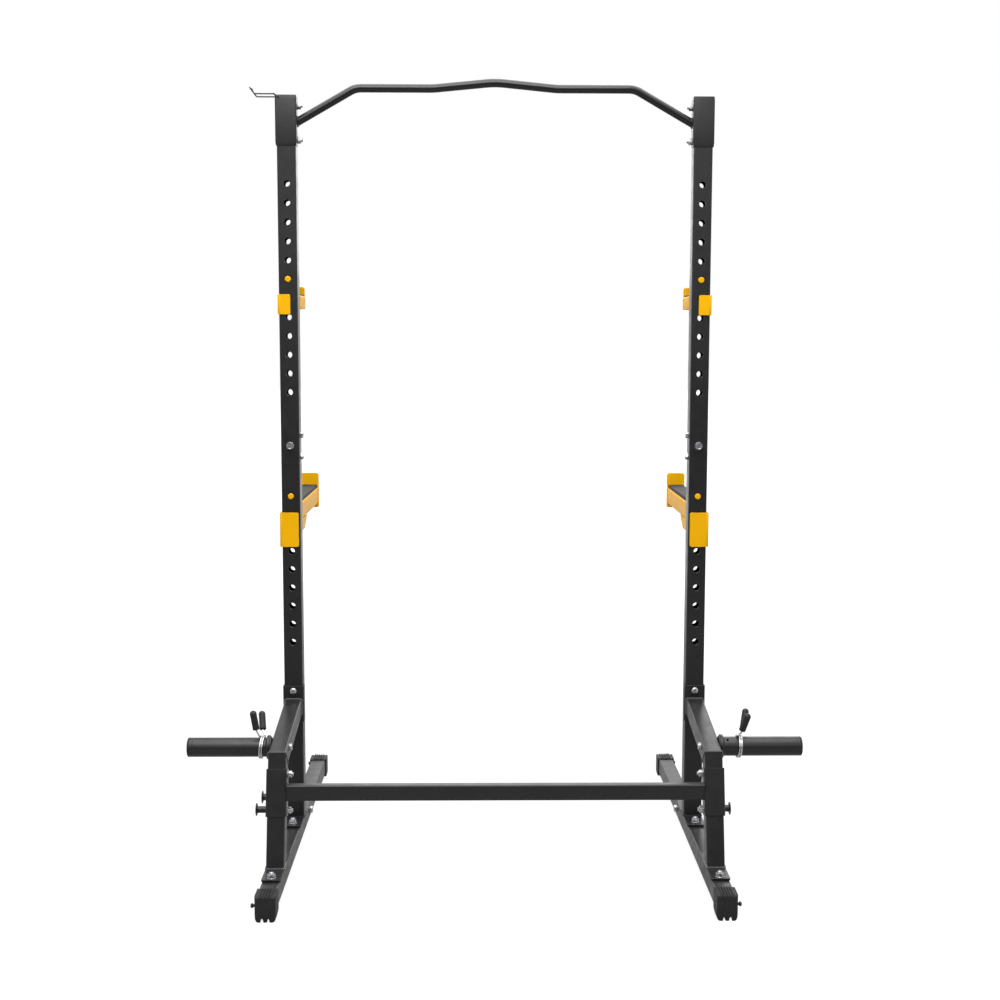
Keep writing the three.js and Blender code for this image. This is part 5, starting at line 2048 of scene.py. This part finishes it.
# Edges turned more than this many degrees are rounded on the frame's own nodes.
BEVEL_TURN = 50.0


def plain_coat(node: str, finish: Finish, edge: float = 0.5) -> None:
    """Dresses one of the frame's own nodes, with its edges slightly rounded.

    Args:
        node: the node's name.
        finish: its finish.
        edge: width of the rounded edges in millimetres.
    """
    part = frame["nodes"][node]
    part.data.materials.clear()
    part.data.materials.append(dressed(finish))
    part.data.shade_smooth()
    weld = part.modifiers.new("weld", "WELD")
    weld.merge_threshold = MERGE_DISTANCE
    bevel = part.modifiers.new("edges", "BEVEL")
    bevel.width = edge * MM
    bevel.segments = 2
    bevel.limit_method = "ANGLE"
    bevel.angle_limit = math.radians(BEVEL_TURN)
    bevel.harden_normals = True
    part.modifiers.new("normals", "WEIGHTED_NORMAL")


# Studio


@dataclass
class Studio:
    """The camera, the pale floor and backdrop, and the soft lamps.

    The eye and the sensor are in millimetres, the floor and the card in metres.
    """

    eye: tuple[float, float, float] = (-43.1, -3911.7, 1364.7)
    yaw: float = -0.0147549
    pitch: float = 0.1069735
    roll: float = 0.0019081
    focal_pixels: float = 1445.88
    image_pixels: float = 1000.0
    sensor: float = 36.0
    floor_half: float = 40.0
    floor_pale: float = 0.44
    camera_share: float = 0.7
    camera_white: float = 1.28
    floor_seen: tuple[float, float, float] = (0.0, 1.3, 3.2)
    floor_mirrored: tuple[float, float, float] = (-2.5, 4.4, 8.0)
    world_light: float = 0.3
    card_half: float = 8.0
    card_back: float = -6.0
    card_heights: tuple[float, float] = (1.0, 4.6)
    card_dark: float = 0.05
    card_pale: float = 2.0

    def build(self) -> None:
        """Sets the camera, the floor, the world and the lamps."""
        bpy.context.scene.view_settings.view_transform = "Standard"
        self._camera()
        self._floor()
        self._world()
        self._card()
        self._lamp("overhead_lamp", (0.0, -0.3, 4.4), (0, 0, 0.9), 4.0, 200)
        self._lamp("rear_lamp", (-0.4, -2.6, 4.0), (0, 0, 1.5), 2.2, 88)
        self._lamp("front_lamp", (0.5, 4.2, 3.2), (0, 0, 1.0), 3.2, 60)

    def _camera(self) -> None:
        """Places the camera by its eye point, yaw, pitch and roll.

        The line of sight is turned by the yaw about the vertical and dipped by the pitch, and the roll
        turns the picture about it.
        """
        sight = np.array([
            -math.sin(self.yaw) * math.cos(self.pitch),
            math.cos(self.yaw) * math.cos(self.pitch),
            -math.sin(self.pitch),
        ])
        level = np.array([math.cos(self.yaw), math.sin(self.yaw), 0.0])
        above = np.cross(level, sight)
        right = math.cos(self.roll) * level + math.sin(self.roll) * above
        up = math.cos(self.roll) * above - math.sin(self.roll) * level
        lens = bpy.data.cameras.new("camera")
        lens.sensor_width = self.sensor
        lens.lens = self.sensor * self.focal_pixels / self.image_pixels
        lens.clip_end = 200
        camera = bpy.data.objects.new("camera", lens)
        place = np.eye(4)
        place[:3, :3] = np.stack([right, up, -sight], axis=1)
        place[:3, 3] = np.array(self.eye) * MM
        camera.matrix_world = Matrix(place.tolist())
        bpy.context.scene.collection.objects.link(camera)
        bpy.context.scene.camera = camera

    def _sheet(self, name: str, corners: Sequence[Sequence[float]]) -> tuple[bpy.types.Object, NodeBoard]:
        """Makes a flat sheet of the studio.

        Args:
            name: its name, and its material's.
            corners: its four corners in metres.

        Returns:
            The sheet, and the empty node board of its material.
        """
        mesh = bpy.data.meshes.new(name)
        mesh.from_pydata(corners, [], [(0, 1, 2, 3)])
        sheet = bpy.data.objects.new(name, mesh)
        bpy.context.scene.collection.objects.link(sheet)
        material = bpy.data.materials.new(name)
        mesh.materials.append(material)
        return sheet, NodeBoard(material)

    def _floor(self) -> None:
        """Makes a pale floor with the object's shadow on it.

        The camera sees it mostly as white, and reflections see it white far beyond the object.
        """
        far = self.floor_half
        _, board = self._sheet("floor", [(-far, -far, 0), (far, -far, 0), (far, far, 0), (-far, far, 0)])
        diffuse = board.add("BsdfDiffuse", (("Color", (self.floor_pale,) * 3 + (1,)),))
        white = board.add("Emission", (("Strength", self.camera_white),))
        path = board.add("LightPath")
        place = board.add("TexCoord")
        shares = []
        for ray, least, (middle, start, end) in (("Is Camera Ray", self.camera_share, self.floor_seen),
                                                 ("Is Glossy Ray", 0.0, self.floor_mirrored)):
            away = board.add("VectorMath", ((1, (0, middle, 0)),), ((0, place, "Object"),), "DISTANCE")
            fade = board.fade(away, "Value", start, end, least, 1.0)
            shares.append(board.add("Math", (), ((0, path, ray), (1, fade, "Result")), "MULTIPLY"))
        both = board.add("Math", (), ((0, shares[0], 0), (1, shares[1], 0)), "MAXIMUM")
        mix = board.add("MixShader", (), (("Fac", both, 0), (1, diffuse, 0), (2, white, 0)))
        board.add("OutputMaterial", links=(("Surface", mix, 0),))

    def _card(self) -> None:
        """Stands a dark card behind the camera, seen only in reflections, that pales toward its top."""
        low, high = self.card_heights
        half, back = self.card_half, self.card_back
        card, board = self._sheet("dark_card", [(-half, back, 0), (half, back, 0), (half, back, high),
                                                (-half, back, high)])
        card.visible_camera = False
        card.visible_diffuse = False
        card.visible_transmission = False
        card.visible_shadow = False
        height = board.add("SeparateXYZ", (), ((0, board.add("TexCoord"), "Object"),))
        fade = board.fade(height, "Z", low, high, self.card_dark, self.card_pale)
        glow = board.add("Emission", (), (("Strength", fade, "Result"),))
        board.add("OutputMaterial", links=(("Surface", glow, 0),))

    def _world(self) -> None:
        """Makes the world white to the camera and in reflections, and a dimmer grey as light."""
        world = bpy.data.worlds.new("studio")
        bpy.context.scene.world = world
        board = NodeBoard(world)
        light, white = (board.add("Background", (("Color", (1, 1, 1, 1)), ("Strength", strength)))
                        for strength in (self.world_light, 1.0))
        path = board.add("LightPath")
        seen = board.add("Math", (), ((0, path, "Is Camera Ray"), (1, path, "Is Glossy Ray")), "MAXIMUM")
        bright = board.add("Math", (), ((0, seen, 0), (1, path, "Is Transmission Ray")), "MAXIMUM")
        mix = board.add("MixShader", (), (("Fac", bright, 0), (1, light, 0), (2, white, 0)))
        board.add("OutputWorld", links=(("Surface", mix, 0),))

    def _lamp(self, name: str, place: Sequence[float], target: Sequence[float], size: float,
              power: float) -> None:
        """Adds one square soft lamp.

        Args:
            name: its name.
            place: where it stands, in metres.
            target: the point that it faces.
            size: its side in metres.
            power: its power in watts.
        """
        data = bpy.data.lights.new(name, "AREA")
        data.size = size
        data.energy = power
        lamp = bpy.data.objects.new(name, data)
        lamp.location = place
        lamp.rotation_mode = "QUATERNION"
        lamp.rotation_quaternion = (Vector(target) - Vector(place)).to_track_quat("-Z", "Y")
        bpy.context.scene.collection.objects.link(lamp)


def main() -> None:
    """Builds the studio and the rack."""
    logging.basicConfig(level=logging.INFO, format="%(name)s: %(message)s")
    Studio().build()
    finishes = {finish.slot: finish for finish in (
        BLACK_COAT, YELLOW_COAT, BLACK_PLASTIC, STRIP_RUBBER, GRIP_RUBBER, ZINC, WIRE)}
    for part in frame["record"]["subparts"]:
        plain_coat(part["node"], finishes[part["material_slot"]])
    for side in Side:
        for part in (Upright, BaseRail, RearLeg, BarBracket, Bolts, WeightPeg, BarHook, SpotterArm):
            part(side).build()
    for part in (PullUpBar, Crossmember, WireHook):
        part().build()
    SpringCollar(Side.LEFT, offset=26.4, turn=math.radians(14.4)).build()
    SpringCollar(Side.RIGHT, offset=52.5, turn=math.radians(5.4)).build()


if __name__ == "__main__":
    main()
